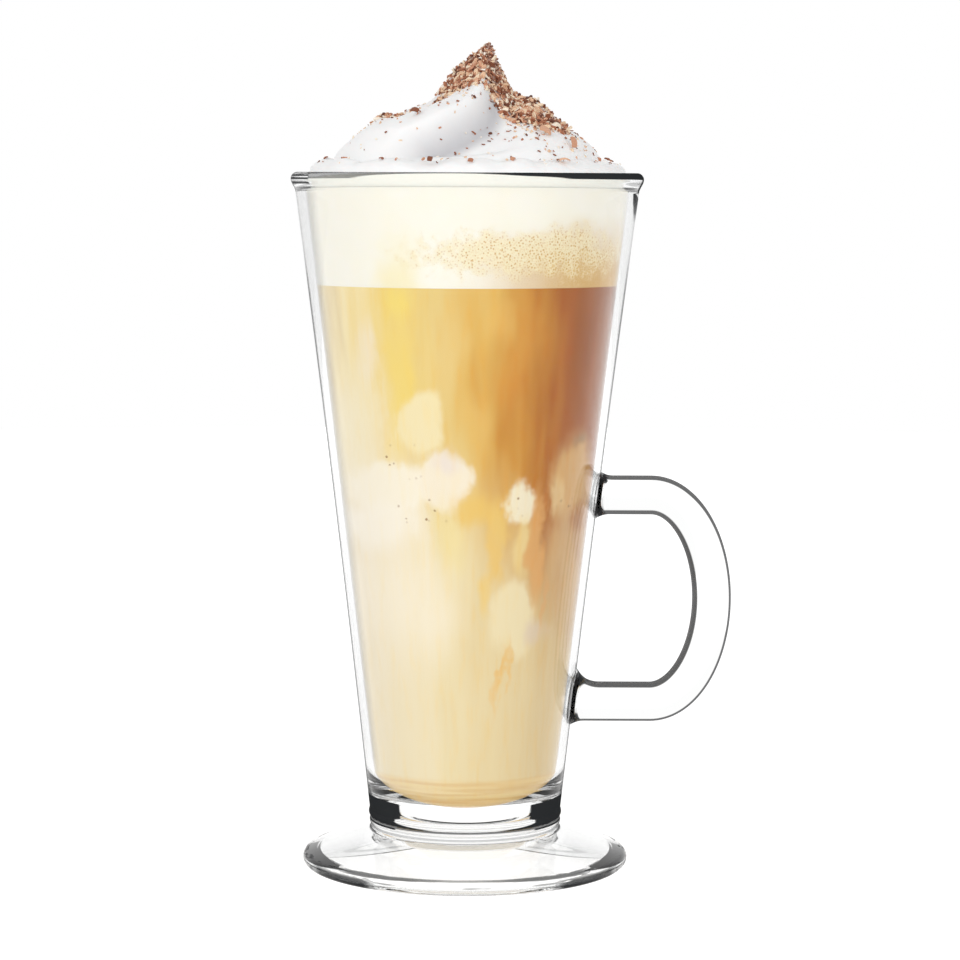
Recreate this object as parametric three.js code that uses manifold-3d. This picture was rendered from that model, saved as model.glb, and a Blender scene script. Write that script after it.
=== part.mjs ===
// A filled latte macchiato glass: a tall tapered glass cup on a conical foot,
// with a D-shaped side handle, milk, coffee and foam in layers, a swirl of
// whipped cream above the rim and grated chocolate on the cream.
// Millimetres, +Z up, standing on z = 0.
import * as THREE from "three";
import { mergeVertices } from "three/addons/utils/BufferGeometryUtils.js";
import Module from "manifold-3d";

const wasm = await Module();
wasm.setup();

// Cup
const cupHeight = 150.8; // table to the top of the rim
const rimRadius = 38.1; // outside of the rolled rim
const beadRadius = 1.45; // rounding of the rolled rim
const beadOverhang = 1.05; // how far the rim stands out of the cone
const beadStartDegrees = -65; // where the bead's outside leaves the cone
const rimBand = 4.35; // height over which the rim rolls out of the cone
const neckRadius = 20.5; // narrowest place, just above the foot
const neckFillet = 0.85;
const coneHollow = 0.4; // how far the cone's flank draws in at mid height
const wallBase = 1.85; // wall of the cone at the inside floor
const floorThickness = 3.2; // solid glass under the drink
const floorCorner = 10; // width of the rounding between the inside floor and the wall
const floorRise = 10.5; // height of that rounding
const collarDepth = 0.3; // how far the pressed rings above the foot stand out
const collarPitch = 1.8; // height of one ring
const collarRings = 2;

// Foot
const footRadius = 35.55;
const footEdge = 3.1; // thickness of the rounded outer edge
const footHeight = 7.8; // table to the neck
const contactWidth = 2.6; // flat ring that stands on the table
const footWall = 2.9; // glass between the upper cone and the hollow underside

// Handle
const handleTop = 85.3;
const handleBottom = 31.5;
const handleReach = 57.9; // axis of the cup to the outside of the grip
const handleBend = 40.25; // axis of the cup to where the straight arms end
const barDepth = 8.4; // thickness of the bar in the plane of the loop
const barWidth = 8.8; // thickness across that plane
const padFlare = 1.6; // how far the ends widen where they meet the cup
const padLength = 3.4; // length over which they widen
const gusset = 3.4; // extra fillet inside the lower joint
const gussetLength = 6;

// Drink and topping
const clearance = 0.3; // between neighbouring pieces that touch on a curved face
const foamDrop = 1.15; // mouth of the cup down to the top of the foam
const foamDepth = 21.2;
const coffeeDepth = 42.6; // the milk fills what is left below it
const bedHeight = 5.2; // cream above the foam
const bedRimGap = 1; // between the cream and the inside of the rim
const bedRounding = 4; // width over which the cream curves down to the rim
const swirlMargin = 0.8; // level cream left round the swirl
const moundHeight = 11.6;
const peakHeight = 13; // tip above the mound
const shoulderHeight = 1.8; // swelling of the mound beside the peak
const foldDepth = 6; // height of a fold's edge over the hollow beside it
const crustThickness = 0.5; // packed chocolate under the loose shavings
const shavingThickness = 0.55;
const crumbLength = 2.1; // shavings of the heaps
const crumbWidth = 1.1;
const crumbLeastShare = 0.7; // the shortest shaving of a heap
const crumbSpreadShare = 0.6; // how much longer the others may be
const curlLength = 2.6; // single shavings
const curlRadius = 1.15;
const curlBendShare = 0.55; // of half a turn
const curlStep = 2.4; // radians that each curl is turned past the one before
const cutOverrun = 2;
const weldDistance = 1e-4;

// Faces round and along
const roundSegments = 56;
const drinkSegments = 48;
const barSegments = 18;
const curlSegments = 4;
const halfTurn = Math.PI;
const fullTurn = 2 * Math.PI;
const quarterTurn = Math.PI / 2;

const glass = { color: 0xeef4f4, roughness: 0.03, metalness: 0, transparent: true, opacity: 0.35 };
const milkLook = { color: 0xf3e6c8, roughness: 0.35, metalness: 0 };
const coffeeLook = { color: 0xd9a263, roughness: 0.35, metalness: 0 };
const foamLook = { color: 0xfaf3df, roughness: 0.7, metalness: 0 };
const creamLook = { color: 0xfbfbfa, roughness: 0.55, metalness: 0 };
const chocolateLook = { color: 0x8a5634, roughness: 0.6, metalness: 0 };

const latteGlass = new THREE.Group();
// The origin is the middle of the ground the object covers, handle included
latteGlass.position.x = -(handleReach - rimRadius) / 2;

// A closed mesh as a solid for cutting and joining
function solidOf(geometry) {
  const bare = geometry.clone();
  bare.deleteAttribute("normal");
  bare.deleteAttribute("uv");
  const merged = mergeVertices(bare, weldDistance);
  const corners = Array.from(merged.index.array);
  const kept = [];
  for (let i = 0; i < corners.length; i += 3) {
    const [a, b, c] = corners.slice(i, i + 3);
    if (a !== b && b !== c && c !== a) kept.push(a, b, c);
  }
  return new wasm.Manifold(
    new wasm.Mesh({
      numProp: 3,
      vertProperties: merged.attributes.position.array,
      triVerts: new Uint32Array(kept),
    }),
  );
}

function geometryOf(solid) {
  const mesh = solid.getMesh();
  const geometry = new THREE.BufferGeometry();
  geometry.setAttribute("position", new THREE.BufferAttribute(mesh.vertProperties, 3));
  geometry.setIndex(new THREE.BufferAttribute(mesh.triVerts, 1));
  geometry.computeVertexNormals();
  return geometry;
}

// The largest of the bodies that a cut leaves, without its slivers
function mainBody(solid) {
  const bodies = solid.decompose();
  return bodies.reduce((best, body) => (body.volume() > best.volume() ? body : best));
}

function addPiece(name, geometry, look) {
  const piece = new THREE.Mesh(geometry, new THREE.MeshStandardMaterial(look));
  piece.name = name;
  latteGlass.add(piece);
  return piece;
}

// A closed profile of [radius, height] pairs, turned about the cup's axis
function revolve(profile, segments) {
  const points = profile.map(([radius, z]) => new THREE.Vector2(radius, z));
  return new THREE.LatheGeometry(points, segments).rotateX(quarterTurn);
}

function arc(centreR, centreZ, radius, from, to, steps) {
  return Array.from({ length: steps + 1 }, (_, i) => {
    const angle = from + ((to - from) * i) / steps;
    return [centreR + radius * Math.cos(angle), centreZ + radius * Math.sin(angle)];
  });
}

// Cup shape: outside cone, straight inside cone and rounded floor
const neckTop = footHeight + neckFillet;
const coneTop = cupHeight - rimBand;
const coneTopRadius = rimRadius - beadOverhang;
const floorLevel = footHeight + floorThickness;
const mouthRadius = rimRadius - 2 * beadRadius;
const mouthLevel = cupHeight - beadRadius;

function outerRadius(z) {
  const share = (z - neckTop) / (coneTop - neckTop);
  const straight = neckRadius + (coneTopRadius - neckRadius) * share;
  return straight - coneHollow * Math.sin(halfTurn * Math.min(1, Math.max(0, share)));
}

const floorWallRadius = outerRadius(floorLevel) - wallBase;
const innerSlope = (mouthRadius - floorWallRadius) / (mouthLevel - floorLevel);
const innerTilt = Math.atan(innerSlope);
const riseTop = floorLevel + floorRise;

// Inside at an angle round the floor's corner, 0 where the wall begins to draw
// in and a quarter turn where the floor is flat, drawn in by an inset all round
function cornerPoint(angle, inset) {
  const z = riseTop - (floorRise - inset) * Math.sin(angle);
  const wall = floorWallRadius + innerSlope * (z - floorLevel) - inset / Math.cos(innerTilt);
  return [wall - (floorCorner - inset) * (1 - Math.cos(angle)), z];
}

// Radius of the inside, drawn in by an inset all round
function innerRadius(z, inset) {
  const drop = Math.min(1, Math.max(0, (riseTop - z) / (floorRise - inset)));
  const wall = floorWallRadius + innerSlope * (z - floorLevel) - inset / Math.cos(innerTilt);
  return wall - (floorCorner - inset) * (1 - Math.sqrt(1 - drop * drop));
}

function floorCurve(inset, steps) {
  return Array.from({ length: steps + 1 }, (_, i) =>
    cornerPoint(quarterTurn - (quarterTurn * i) / steps, inset),
  );
}

const coneSteps = 5;
const collarSteps = 3;
const filletSteps = 3;
const beadSteps = 6;
const floorSteps = 6;
const beadStart = THREE.MathUtils.degToRad(beadStartDegrees);

function bowlProfile() {
  const fillet = arc(
    neckRadius + neckFillet, neckTop, neckFillet, 3 * quarterTurn, halfTurn, filletSteps,
  );
  const collar = Array.from({ length: collarRings * collarSteps }, (_, i) => {
    const turns = (i + 1) / collarSteps;
    const z = neckTop + collarPitch * turns;
    return [outerRadius(z) + collarDepth * Math.abs(Math.sin(halfTurn * turns)), z];
  });
  const flankFoot = neckTop + collarPitch * collarRings;
  const flank = Array.from({ length: coneSteps }, (_, i) => {
    const z = flankFoot + ((coneTop - flankFoot) * (i + 1)) / coneSteps;
    return [outerRadius(z), z];
  });
  const bead = arc(
    rimRadius - beadRadius, cupHeight - beadRadius, beadRadius, beadStart, halfTurn, beadSteps,
  );
  const inside = floorCurve(0, floorSteps).reverse();
  const outside = [...fillet, ...collar, ...flank, ...bead];
  return [[0, footHeight], ...outside, ...inside, [0, floorLevel]];
}

addPiece("glass_bowl", revolve(bowlProfile(), roundSegments), glass);

// Foot: cone outside, parallel hollow underneath, flat ring on the table
const edgeRadius = footEdge / 2;
const edgeCentreR = footRadius - edgeRadius;
const seatRadius = neckRadius + neckFillet;
const footTilt = Math.atan((footHeight - footEdge) / (edgeCentreR - seatRadius));
const ringInner = edgeCentreR - contactWidth;
const edgeSteps = 6;
const hollowDrop = footWall / Math.cos(footTilt);
const hollowTop = footHeight - hollowDrop;

function footProfile() {
  const edge = arc(
    edgeCentreR, edgeRadius, edgeRadius, -quarterTurn, quarterTurn - footTilt, edgeSteps,
  );
  const upperCone = [[seatRadius, footHeight], [0, footHeight]];
  const hollowFoot = hollowTop - Math.tan(footTilt) * (ringInner - seatRadius);
  const ringSide = Math.max(hollowFoot, edgeRadius / 2);
  const hollow = [[0, hollowTop], [seatRadius, hollowTop], [ringInner - ringSide / 2, ringSide]];
  return [...hollow, [ringInner, 0], ...edge, ...upperCone];
}

addPiece("glass_foot", revolve(footProfile(), roundSegments), glass);

// Handle: a bar along two level arms joined by half an ellipse, its ends
// widened into pads and trimmed to the cone
const armTop = handleTop - barDepth / 2;
const armBottom = handleBottom + barDepth / 2;
const loopCentre = (armTop + armBottom) / 2;
const loopHalf = (armTop - armBottom) / 2;
const gripReach = handleReach - barDepth / 2;

function handlePath() {
  const topStart = outerRadius(armTop) - cutOverrun;
  const bottomEnd = outerRadius(armBottom) - cutOverrun;
  const armSteps = 9;
  const bendSteps = 20;
  const along = (from, to, z, dir) =>
    Array.from({ length: armSteps }, (_, i) => {
      const share = i / armSteps;
      const x = from + (to - from) * (dir > 0 ? share : (i + 1) / armSteps);
      return { x, z, nx: 0, nz: dir };
    });
  const bend = Array.from({ length: bendSteps + 1 }, (_, i) => {
    const angle = quarterTurn - (halfTurn * i) / bendSteps;
    const outX = Math.cos(angle) / (gripReach - handleBend);
    const outZ = Math.sin(angle) / loopHalf;
    const size = Math.hypot(outX, outZ);
    return {
      x: handleBend + (gripReach - handleBend) * Math.cos(angle),
      z: loopCentre + loopHalf * Math.sin(angle),
      nx: outX / size,
      nz: outZ / size,
    };
  });
  return [
    ...along(topStart, handleBend, armTop, 1),
    ...bend,
    ...along(handleBend, bottomEnd, armBottom, -1),
  ];
}

// Widening at a distance from the wall, 1 at the wall and 0 past a length
function flareAt(distance, length) {
  const share = Math.min(1, Math.max(0, distance / length));
  return (1 - share) ** 2;
}

const sectionPower = 2.7; // 2 is an ellipse, more is squarer

function barSection(station) {
  const fromWall = station.x - outerRadius(station.z);
  const onArm = station.x <= handleBend;
  const pad = onArm ? padFlare * flareAt(fromWall, padLength) : 0;
  const lower = onArm && station.nz < 0;
  const inside = lower ? gusset * flareAt(fromWall, gussetLength) : 0;
  return Array.from({ length: barSegments }, (_, i) => {
    const angle = (fullTurn * i) / barSegments;
    const c = Math.cos(angle);
    const s = Math.sin(angle);
    const across = Math.sign(c) * Math.abs(c) ** (2 / sectionPower) * (barWidth / 2 + pad);
    const half = barDepth / 2 + pad + (s < 0 ? inside : 0);
    const out = Math.sign(s) * Math.abs(s) ** (2 / sectionPower) * half;
    return [station.x + station.nx * out, across, station.z + station.nz * out];
  });
}

// A closed skin over rings of points, with a fan over each end
function loft(rings) {
  const count = rings[0].length;
  const positions = rings.flat();
  const middle = (ring) =>
    [0, 1, 2].map((axis) => ring.reduce((sum, p) => sum + p[axis], 0) / count);
  const first = positions.push(middle(rings[0])) - 1;
  const last = positions.push(middle(rings[rings.length - 1])) - 1;
  const index = [];
  for (let i = 0; i < count; i++) {
    const j = (i + 1) % count;
    for (let k = 0; k + 1 < rings.length; k++) {
      const a = k * count;
      const b = a + count;
      index.push(a + i, a + j, b + j, a + i, b + j, b + i);
    }
    const end = (rings.length - 1) * count;
    index.push(first, j, i, last, end + i, end + j);
  }
  const geometry = new THREE.BufferGeometry();
  geometry.setAttribute("position", new THREE.Float32BufferAttribute(positions.flat(), 3));
  geometry.setIndex(index);
  return geometry;
}

function handleGeometry() {
  const bar = solidOf(loft(handlePath().map(barSection)));
  const steps = 12;
  const low = handleBottom - padFlare - cutOverrun;
  const high = handleTop + padFlare + cutOverrun;
  const flank = Array.from({ length: steps + 1 }, (_, i) => {
    const z = low + ((high - low) * i) / steps;
    return [outerRadius(z) + clearance, z];
  });
  const cup = solidOf(revolve([[0, low], ...flank, [0, high]], roundSegments));
  return geometryOf(bar.subtract(cup));
}

addPiece("glass_handle", handleGeometry(), glass);

// Drink: three layers that share the cup's inside shape
const drinkBase = floorLevel + clearance;
const foamTop = mouthLevel - foamDrop;
const coffeeTop = foamTop - foamDepth;
const milkTop = coffeeTop - coffeeDepth;

function wallPoints(from, to, steps) {
  return Array.from({ length: steps + 1 }, (_, i) => {
    const z = from + ((to - from) * i) / steps;
    return [innerRadius(z, clearance), z];
  });
}

function layerProfile(from, to) {
  return [[0, from], ...wallPoints(from, to, 2), [0, to]];
}

function milkProfile() {
  const corner = floorCurve(clearance, floorSteps);
  return [[0, drinkBase], ...corner, [innerRadius(milkTop, clearance), milkTop], [0, milkTop]];
}

addPiece("milk", revolve(milkProfile(), drinkSegments), milkLook);
addPiece("coffee", revolve(layerProfile(milkTop, coffeeTop), drinkSegments), coffeeLook);
addPiece("milk_foam", revolve(layerProfile(coffeeTop, foamTop), drinkSegments), foamLook);

// Cream bed: fills the mouth and rounds over just above the rim
const bedTop = foamTop + bedHeight;
const bedRimRadius = mouthRadius - bedRimGap;
const bedFlatRadius = bedRimRadius - bedRounding;
const bedWallTop = Math.min(mouthLevel, bedTop - bedHeight / 2);
const crownFoot = bedWallTop + (bedTop - bedWallTop) / 3;
const crownSteps = 4;

function bedProfile() {
  const crown = Array.from({ length: crownSteps + 1 }, (_, i) => {
    const angle = (quarterTurn * i) / crownSteps;
    return [
      bedFlatRadius + (bedRimRadius - bedFlatRadius) * Math.cos(angle),
      crownFoot + (bedTop - crownFoot) * Math.sin(angle),
    ];
  });
  return [[0, foamTop], ...wallPoints(foamTop, bedWallTop, 1), ...crown, [0, bedTop]];
}

addPiece("cream_bed", revolve(bedProfile(), drinkSegments), creamLook);

// Cream swirl: a mound with three folds that wind up into a leaning peak
const swirlRadius = bedFlatRadius - swirlMargin;
const peakOffsetShare = 0.158; // lean of the tip towards the handle
const peakSpreadShare = 0.3125;
const shoulderOffsetShare = 0.551;
const shoulderSpreadShare = 0.202;
const peakOffset = swirlRadius * peakOffsetShare;
const peakSpread = swirlRadius * peakSpreadShare;
const shoulderOffset = swirlRadius * shoulderOffsetShare;
const shoulderSpread = swirlRadius * shoulderSpreadShare;
const foldCount = 3;
const foldStartDegrees = -119; // where the front fold meets the edge
const foldTwistDegrees = 92; // how far a fold winds from edge to tip
const foldTwistPower = 0.85;
const foldRimShare = 0.125; // part of the radius over which folds fade at the edge
const foldTipShare = 0.45; // and at the tip
const foldStart = THREE.MathUtils.degToRad(foldStartDegrees);
const foldTwist = THREE.MathUtils.degToRad(foldTwistDegrees);
const foldDropShare = 0.16; // part of a fold taken by its steep side
const steepSideShare = 0.5; // spread of the peak towards the handle
const moundPower = 3.2; // fullness of the mound's shoulders
const peakPower = 1.6; // fullness of the peak

function foldHeight(angle, out) {
  const edge = foldStart + foldTwist * (1 - out) ** foldTwistPower;
  const turns = ((angle - edge) / fullTurn) * foldCount;
  const along = turns - Math.floor(turns);
  const rise = along / (1 - foldDropShare);
  const fall = (1 - along) / foldDropShare;
  const lobe = Math.min(1, rise, fall);
  return lobe * lobe * (3 - 2 * lobe);
}

// Height of the cream above the bed at a place in plan
function swirlHeight(x, y) {
  const radius = Math.hypot(x, y);
  const out = Math.min(1, radius / swirlRadius);
  const angle = Math.atan2(y, x);
  const mound = moundHeight * (1 - out ** moundPower);
  const offset = x - peakOffset;
  const spread = peakSpread * (offset > 0 ? steepSideShare : 1);
  const away = Math.hypot(offset / spread, y / peakSpread);
  const peak = peakHeight * Math.exp(-(away ** peakPower));
  const beside = Math.hypot(x - shoulderOffset, y) / shoulderSpread;
  const shoulder = shoulderHeight * Math.exp(-(beside ** 2));
  const strength = Math.min(1, (1 - out) / foldRimShare) * Math.min(1, out / foldTipShare);
  const fold = foldDepth * strength * (foldHeight(angle, out) - 0.5);
  return Math.max(0, mound + peak + shoulder + fold);
}

// A closed solid from a level up to a height over a round patch of the plan
function patchSolid(centreX, centreY, radius, rings, segments, low, highAt) {
  const positions = [];
  const addRow = (share, heightAt) => {
    const start = positions.length;
    for (let i = 0; i < segments; i++) {
      const angle = (fullTurn * i) / segments;
      const x = centreX + radius * share * Math.cos(angle);
      const y = centreY + radius * share * Math.sin(angle);
      positions.push([x, y, heightAt(x, y)]);
    }
    return start;
  };
  const index = [];
  const join = (outer, inner, up) => {
    for (let i = 0; i < segments; i++) {
      const j = (i + 1) % segments;
      const [p, q] = up ? [i, j] : [j, i];
      index.push(outer + p, outer + q, inner + q, outer + p, inner + q, inner + p);
    }
  };
  const close = (row, heightAt, up) => {
    const centre = positions.push([centreX, centreY, heightAt(centreX, centreY)]) - 1;
    for (let i = 0; i < segments; i++) {
      const j = (i + 1) % segments;
      index.push(row + (up ? i : j), row + (up ? j : i), centre);
    }
  };
  const face = (heightAt, count, up) => {
    const edge = addRow(1, heightAt);
    let row = edge;
    for (let k = count - 1; k > 0; k--) {
      const next = addRow(k / count, heightAt);
      join(row, next, up);
      row = next;
    }
    close(row, heightAt, up);
    return edge;
  };
  const topEdge = face(highAt, rings, true);
  const lowEdge = face(() => low, 1, false);
  join(lowEdge, topEdge, true);
  const geometry = new THREE.BufferGeometry();
  geometry.setAttribute("position", new THREE.Float32BufferAttribute(positions.flat(), 3));
  geometry.setIndex(index);
  return geometry;
}

const swirlRings = 18;
const swirlSegments = 42;
const skirt = 0.4; // height of the swirl's outer edge above the bed

const creamTopAt = (x, y) => bedTop + Math.max(skirt, swirlHeight(x, y));
const swirl = patchSolid(0, 0, swirlRadius, swirlRings, swirlSegments, bedTop, creamTopAt);
addPiece("cream_swirl", swirl, creamLook);

// Everything above the foam, raised by a distance
function creamRaised(distance) {
  const up = new THREE.Matrix4().makeTranslation(0, 0, distance);
  const bed = solidOf(revolve(bedProfile(), drinkSegments).applyMatrix4(up));
  return bed.add(solidOf(swirl.clone().applyMatrix4(up)));
}

const creamTrim = creamRaised(clearance);
const crustTop = creamRaised(clearance + crustThickness);

// The same order of places on every run
function seeded(seed) {
  let state = seed;
  return () => {
    state = (state * 1664525 + 1013904223) % 4294967296;
    return state / 4294967296;
  };
}

function crumb(random, x, y, z) {
  const size = crumbLeastShare + crumbSpreadShare * random();
  const box = new THREE.BoxGeometry(crumbLength * size, crumbWidth, shavingThickness);
  const turn = new THREE.Euler(random() - 0.5, random() - 0.5, fullTurn * random());
  box.applyMatrix4(new THREE.Matrix4().makeRotationFromEuler(turn));
  return box.translate(x, y, z);
}

// A heap: thin packed patches that follow the cream, with shavings bedded in them
function heap(seed, patches) {
  const random = seeded(seed);
  const above = bedTop + moundHeight + peakHeight + cutOverrun;
  const solids = patches.flatMap((shares) => {
    const [x, y, radius] = shares.place.map((share) => swirlRadius * share);
    const column = revolve([[0, foamTop], [radius, foamTop], [radius, above], [0, above]], barSegments);
    const crust = crustTop.intersect(solidOf(column.translate(x, y, 0)));
    const crumbs = Array.from({ length: shares.count }, () => {
      const angle = fullTurn * random();
      const out = radius * Math.sqrt(random());
      const crumbX = x + out * Math.cos(angle);
      const crumbY = y + out * Math.sin(angle);
      const bedded = creamTopAt(crumbX, crumbY) + clearance + crustThickness - shavingThickness / 4;
      return solidOf(crumb(random, crumbX, crumbY, bedded));
    });
    return [crust, ...crumbs];
  });
  const joined = solids.reduce((sum, solid) => sum.add(solid));
  return geometryOf(mainBody(joined.subtract(creamTrim)));
}

// Middle in plan and radius of each patch, as shares of the swirl's radius
const peakShares = { place: [0.12, 0, 0.31], count: 22 };
const flankShares = { place: [0.46, -0.24, 0.21], count: 14 };
const ridgeShares = { place: [-0.57, -0.121, 0.132], count: 8 };
addPiece("chocolate_crown", heap(19, [peakShares, flankShares]), chocolateLook);
addPiece("chocolate_ridge", heap(5, [ridgeShares]), chocolateLook);

// Single shavings: short curls that lie on the cream
function curlGeometry(size) {
  const outer = curlRadius * size;
  const inner = outer - shavingThickness;
  const bend = halfTurn * curlBendShare;
  const shape = new THREE.Shape();
  shape.absarc(0, 0, outer, quarterTurn - bend / 2, quarterTurn + bend / 2, false);
  shape.absarc(0, 0, inner, quarterTurn + bend / 2, quarterTurn - bend / 2, true);
  const depth = curlLength * size;
  const options = { depth, bevelEnabled: false, curveSegments: curlSegments };
  const curl = new THREE.ExtrudeGeometry(shape, options);
  return curl.translate(0, -inner, -depth / 2).rotateX(quarterTurn);
}

const bedCrownAt = (out) => {
  const share = Math.max(0, (out - bedFlatRadius) / (bedRimRadius - bedFlatRadius));
  return crownFoot + (bedTop - crownFoot) * Math.sqrt(Math.max(0, 1 - share * share));
};

function toppingAt(x, y) {
  const out = Math.hypot(x, y);
  return out < swirlRadius ? creamTopAt(x, y) : bedCrownAt(out);
}

// Single shavings: share of a turn from the handle's side, place from the axis
// (1 at the swirl's edge, 2 at the bed's) and share of the full size
const curlShares = [
  [0.798, 1.41, 1.1], [0.858, 1.5, 1.15], [0.753, 1.66, 0.8], [0.711, 1.5, 0.9],
  [0.655, 1.47, 0.8], [0.872, 0.8, 1], [0.9, 0.93, 0.9], [0.921, 1.44, 0.8],
  [0.597, 1.4, 0.8], [0.537, 1.33, 0.8], [0.026, 1.27, 0.9], [0.142, 1.16, 1],
  [0.235, 1.24, 1], [0.33, 1.35, 0.9], [0.432, 1.2, 0.9], [0.667, 0.75, 0.8],
];

curlShares.forEach(([aroundShare, outShare, sizeShare], i) => {
  const angle = fullTurn * aroundShare;
  const onSwirl = swirlRadius * Math.min(1, outShare);
  const out = onSwirl + (bedRimRadius - swirlRadius) * Math.max(0, outShare - 1);
  const x = out * Math.cos(angle);
  const y = out * Math.sin(angle);
  const step = curlRadius / 2;
  const slopeX = (toppingAt(x + step, y) - toppingAt(x - step, y)) / (2 * step);
  const slopeY = (toppingAt(x, y + step) - toppingAt(x, y - step)) / (2 * step);
  const up = new THREE.Vector3(-slopeX, -slopeY, 1).normalize();
  const lay = new THREE.Matrix4().makeRotationFromQuaternion(
    new THREE.Quaternion().setFromUnitVectors(new THREE.Vector3(0, 0, 1), up),
  );
  const curl = curlGeometry(sizeShare);
  curl.rotateZ(i * curlStep);
  curl.applyMatrix4(lay);
  curl.translate(x, y, toppingAt(x, y) + clearance);
  const trimmed = mainBody(solidOf(curl).subtract(creamTrim));
  addPiece(`shaving_${i + 1}`, geometryOf(trimmed), chocolateLook);
});

export default latteGlass;
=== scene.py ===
# A filled latte macchiato glass in a plain pale studio.
# Shapes are worked out in millimetres from the cup's axis and placed in metres.
import math
import random

import bmesh
import bpy
from mathutils import Matrix, Vector, noise


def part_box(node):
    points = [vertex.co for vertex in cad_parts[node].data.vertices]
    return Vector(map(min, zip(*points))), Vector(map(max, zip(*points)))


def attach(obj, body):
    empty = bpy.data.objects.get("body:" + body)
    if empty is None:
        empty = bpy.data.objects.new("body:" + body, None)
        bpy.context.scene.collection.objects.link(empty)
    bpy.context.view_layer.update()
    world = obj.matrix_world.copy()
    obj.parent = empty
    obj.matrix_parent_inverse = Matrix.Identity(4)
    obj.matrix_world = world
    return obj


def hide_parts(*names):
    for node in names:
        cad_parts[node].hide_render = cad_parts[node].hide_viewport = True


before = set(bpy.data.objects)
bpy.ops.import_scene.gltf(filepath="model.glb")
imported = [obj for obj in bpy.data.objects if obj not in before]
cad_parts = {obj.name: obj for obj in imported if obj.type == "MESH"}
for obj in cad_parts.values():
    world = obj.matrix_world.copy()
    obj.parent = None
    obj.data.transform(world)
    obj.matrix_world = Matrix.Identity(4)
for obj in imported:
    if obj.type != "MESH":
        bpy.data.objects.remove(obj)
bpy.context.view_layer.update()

MM = 0.001
FULL_TURN = 2 * math.pi
HALF_TURN = math.pi
QUARTER_TURN = math.pi / 2
BODY = "root"


def millimetres(node):
    """Lowest and highest corner of a node, in millimetres from the cup's axis."""
    low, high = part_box(node)
    return (low - AXIS) / MM, (high - AXIS) / MM


def smooth(value):
    """A smooth step from 0 to 1."""
    value = min(1, max(0, value))
    return value * value * (3 - 2 * value)


def step(value, start, width):
    """A smooth step that starts at a value and takes a width."""
    return smooth((value - start) / width)


def between(a, b, share):
    """The tuple that lies a share of the way from one to another."""
    return tuple(p + (q - p) * share for p, q in zip(a, b))


# Sizes that the solids give
rim_low, rim_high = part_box("glass_bowl")
AXIS = Vector(((rim_low.x + rim_high.x) / 2, (rim_low.y + rim_high.y) / 2, 0))
_, bowl_high = millimetres("glass_bowl")
_, foot_high = millimetres("glass_foot")
_, handle_high = millimetres("glass_handle")
foam_low, foam_high = millimetres("milk_foam")
milk_low, milk_high = millimetres("milk")
_, bed_high = millimetres("cream_bed")
_, swirl_high = millimetres("cream_swirl")
_, crown_high = millimetres("chocolate_crown")

# Cup
BOX_MARGIN = 0.02
CUP_HEIGHT = bowl_high.z - BOX_MARGIN
RIM_RADIUS = bowl_high.y - BOX_MARGIN
BEAD_RADIUS = 1.45
BEAD_OVERHANG = 1.05
RIM_BAND = 4.35
NECK_RADIUS = 20.5
NECK_FILLET = 0.85
CONE_HOLLOW = 0.4
WALL_BASE = 1.85
FLOOR_THICKNESS = 3.2
FLOOR_CORNER = 10
FLOOR_RISE = 10.5
COLLAR_DEPTH = 0.3
COLLAR_PITCH = 1.8
COLLAR_RINGS = 2

# Foot
FOOT_RADIUS = foot_high.y - BOX_MARGIN
FOOT_HEIGHT = foot_high.z
FOOT_EDGE = 3.1
CONTACT_WIDTH = 2.6
FOOT_WALL = 2.9

# Handle
HANDLE_REACH = handle_high.x - BOX_MARGIN
BAR_DEPTH = 8.4
BAR_WIDTH = 8.8
PAD_FLARE = 1.6
PAD_LENGTH = 3.4
GUSSET = 3.4
GUSSET_LENGTH = 6
HANDLE_TOP = 85.3
HANDLE_BOTTOM = 31.5
HANDLE_BEND = 40.25
SECTION_POWER = 2.7
WALL_SINK = 1.0

# Drink and cream
CLEARANCE = 0.1
FOAM_TOP = foam_high.z
COFFEE_TOP = foam_low.z
MILK_TOP = milk_high.z
DRINK_BASE = milk_low.z
BED_TOP = bed_high.z
BED_HEIGHT = BED_TOP - FOAM_TOP
BED_RIM_GAP = 1.0
BED_ROUNDING = 4.0
SWIRL_RADIUS = swirl_high.x
MOUND_HEIGHT = 10.95
PEAK_HEIGHT = 13.5
SHOULDER_HEIGHT = 2.8
FOLD_DEPTH = 6
SWIRL_SINK = 0.9  # how far the swirl's edge goes down into the bed

# Cup shape, as the solids have it
neck_top = FOOT_HEIGHT + NECK_FILLET
cone_top = CUP_HEIGHT - RIM_BAND
cone_top_radius = RIM_RADIUS - BEAD_OVERHANG
floor_level = FOOT_HEIGHT + FLOOR_THICKNESS
mouth_radius = RIM_RADIUS - 2 * BEAD_RADIUS
mouth_level = CUP_HEIGHT - BEAD_RADIUS


def outer_radius(z):
    share = (z - neck_top) / (cone_top - neck_top)
    straight = NECK_RADIUS + (cone_top_radius - NECK_RADIUS) * share
    return straight - CONE_HOLLOW * math.sin(HALF_TURN * min(1, max(0, share)))


floor_wall_radius = outer_radius(floor_level) - WALL_BASE
inner_slope = (mouth_radius - floor_wall_radius) / (mouth_level - floor_level)
inner_tilt = math.atan(inner_slope)
rise_top = floor_level + FLOOR_RISE


def wall_radius(z, inset):
    return floor_wall_radius + inner_slope * (z - floor_level) - inset / math.cos(inner_tilt)


def inner_radius(z, inset):
    drop = min(1, max(0, (rise_top - z) / (FLOOR_RISE - inset)))
    return wall_radius(z, inset) - (FLOOR_CORNER - inset) * (1 - math.sqrt(1 - drop * drop))


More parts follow.
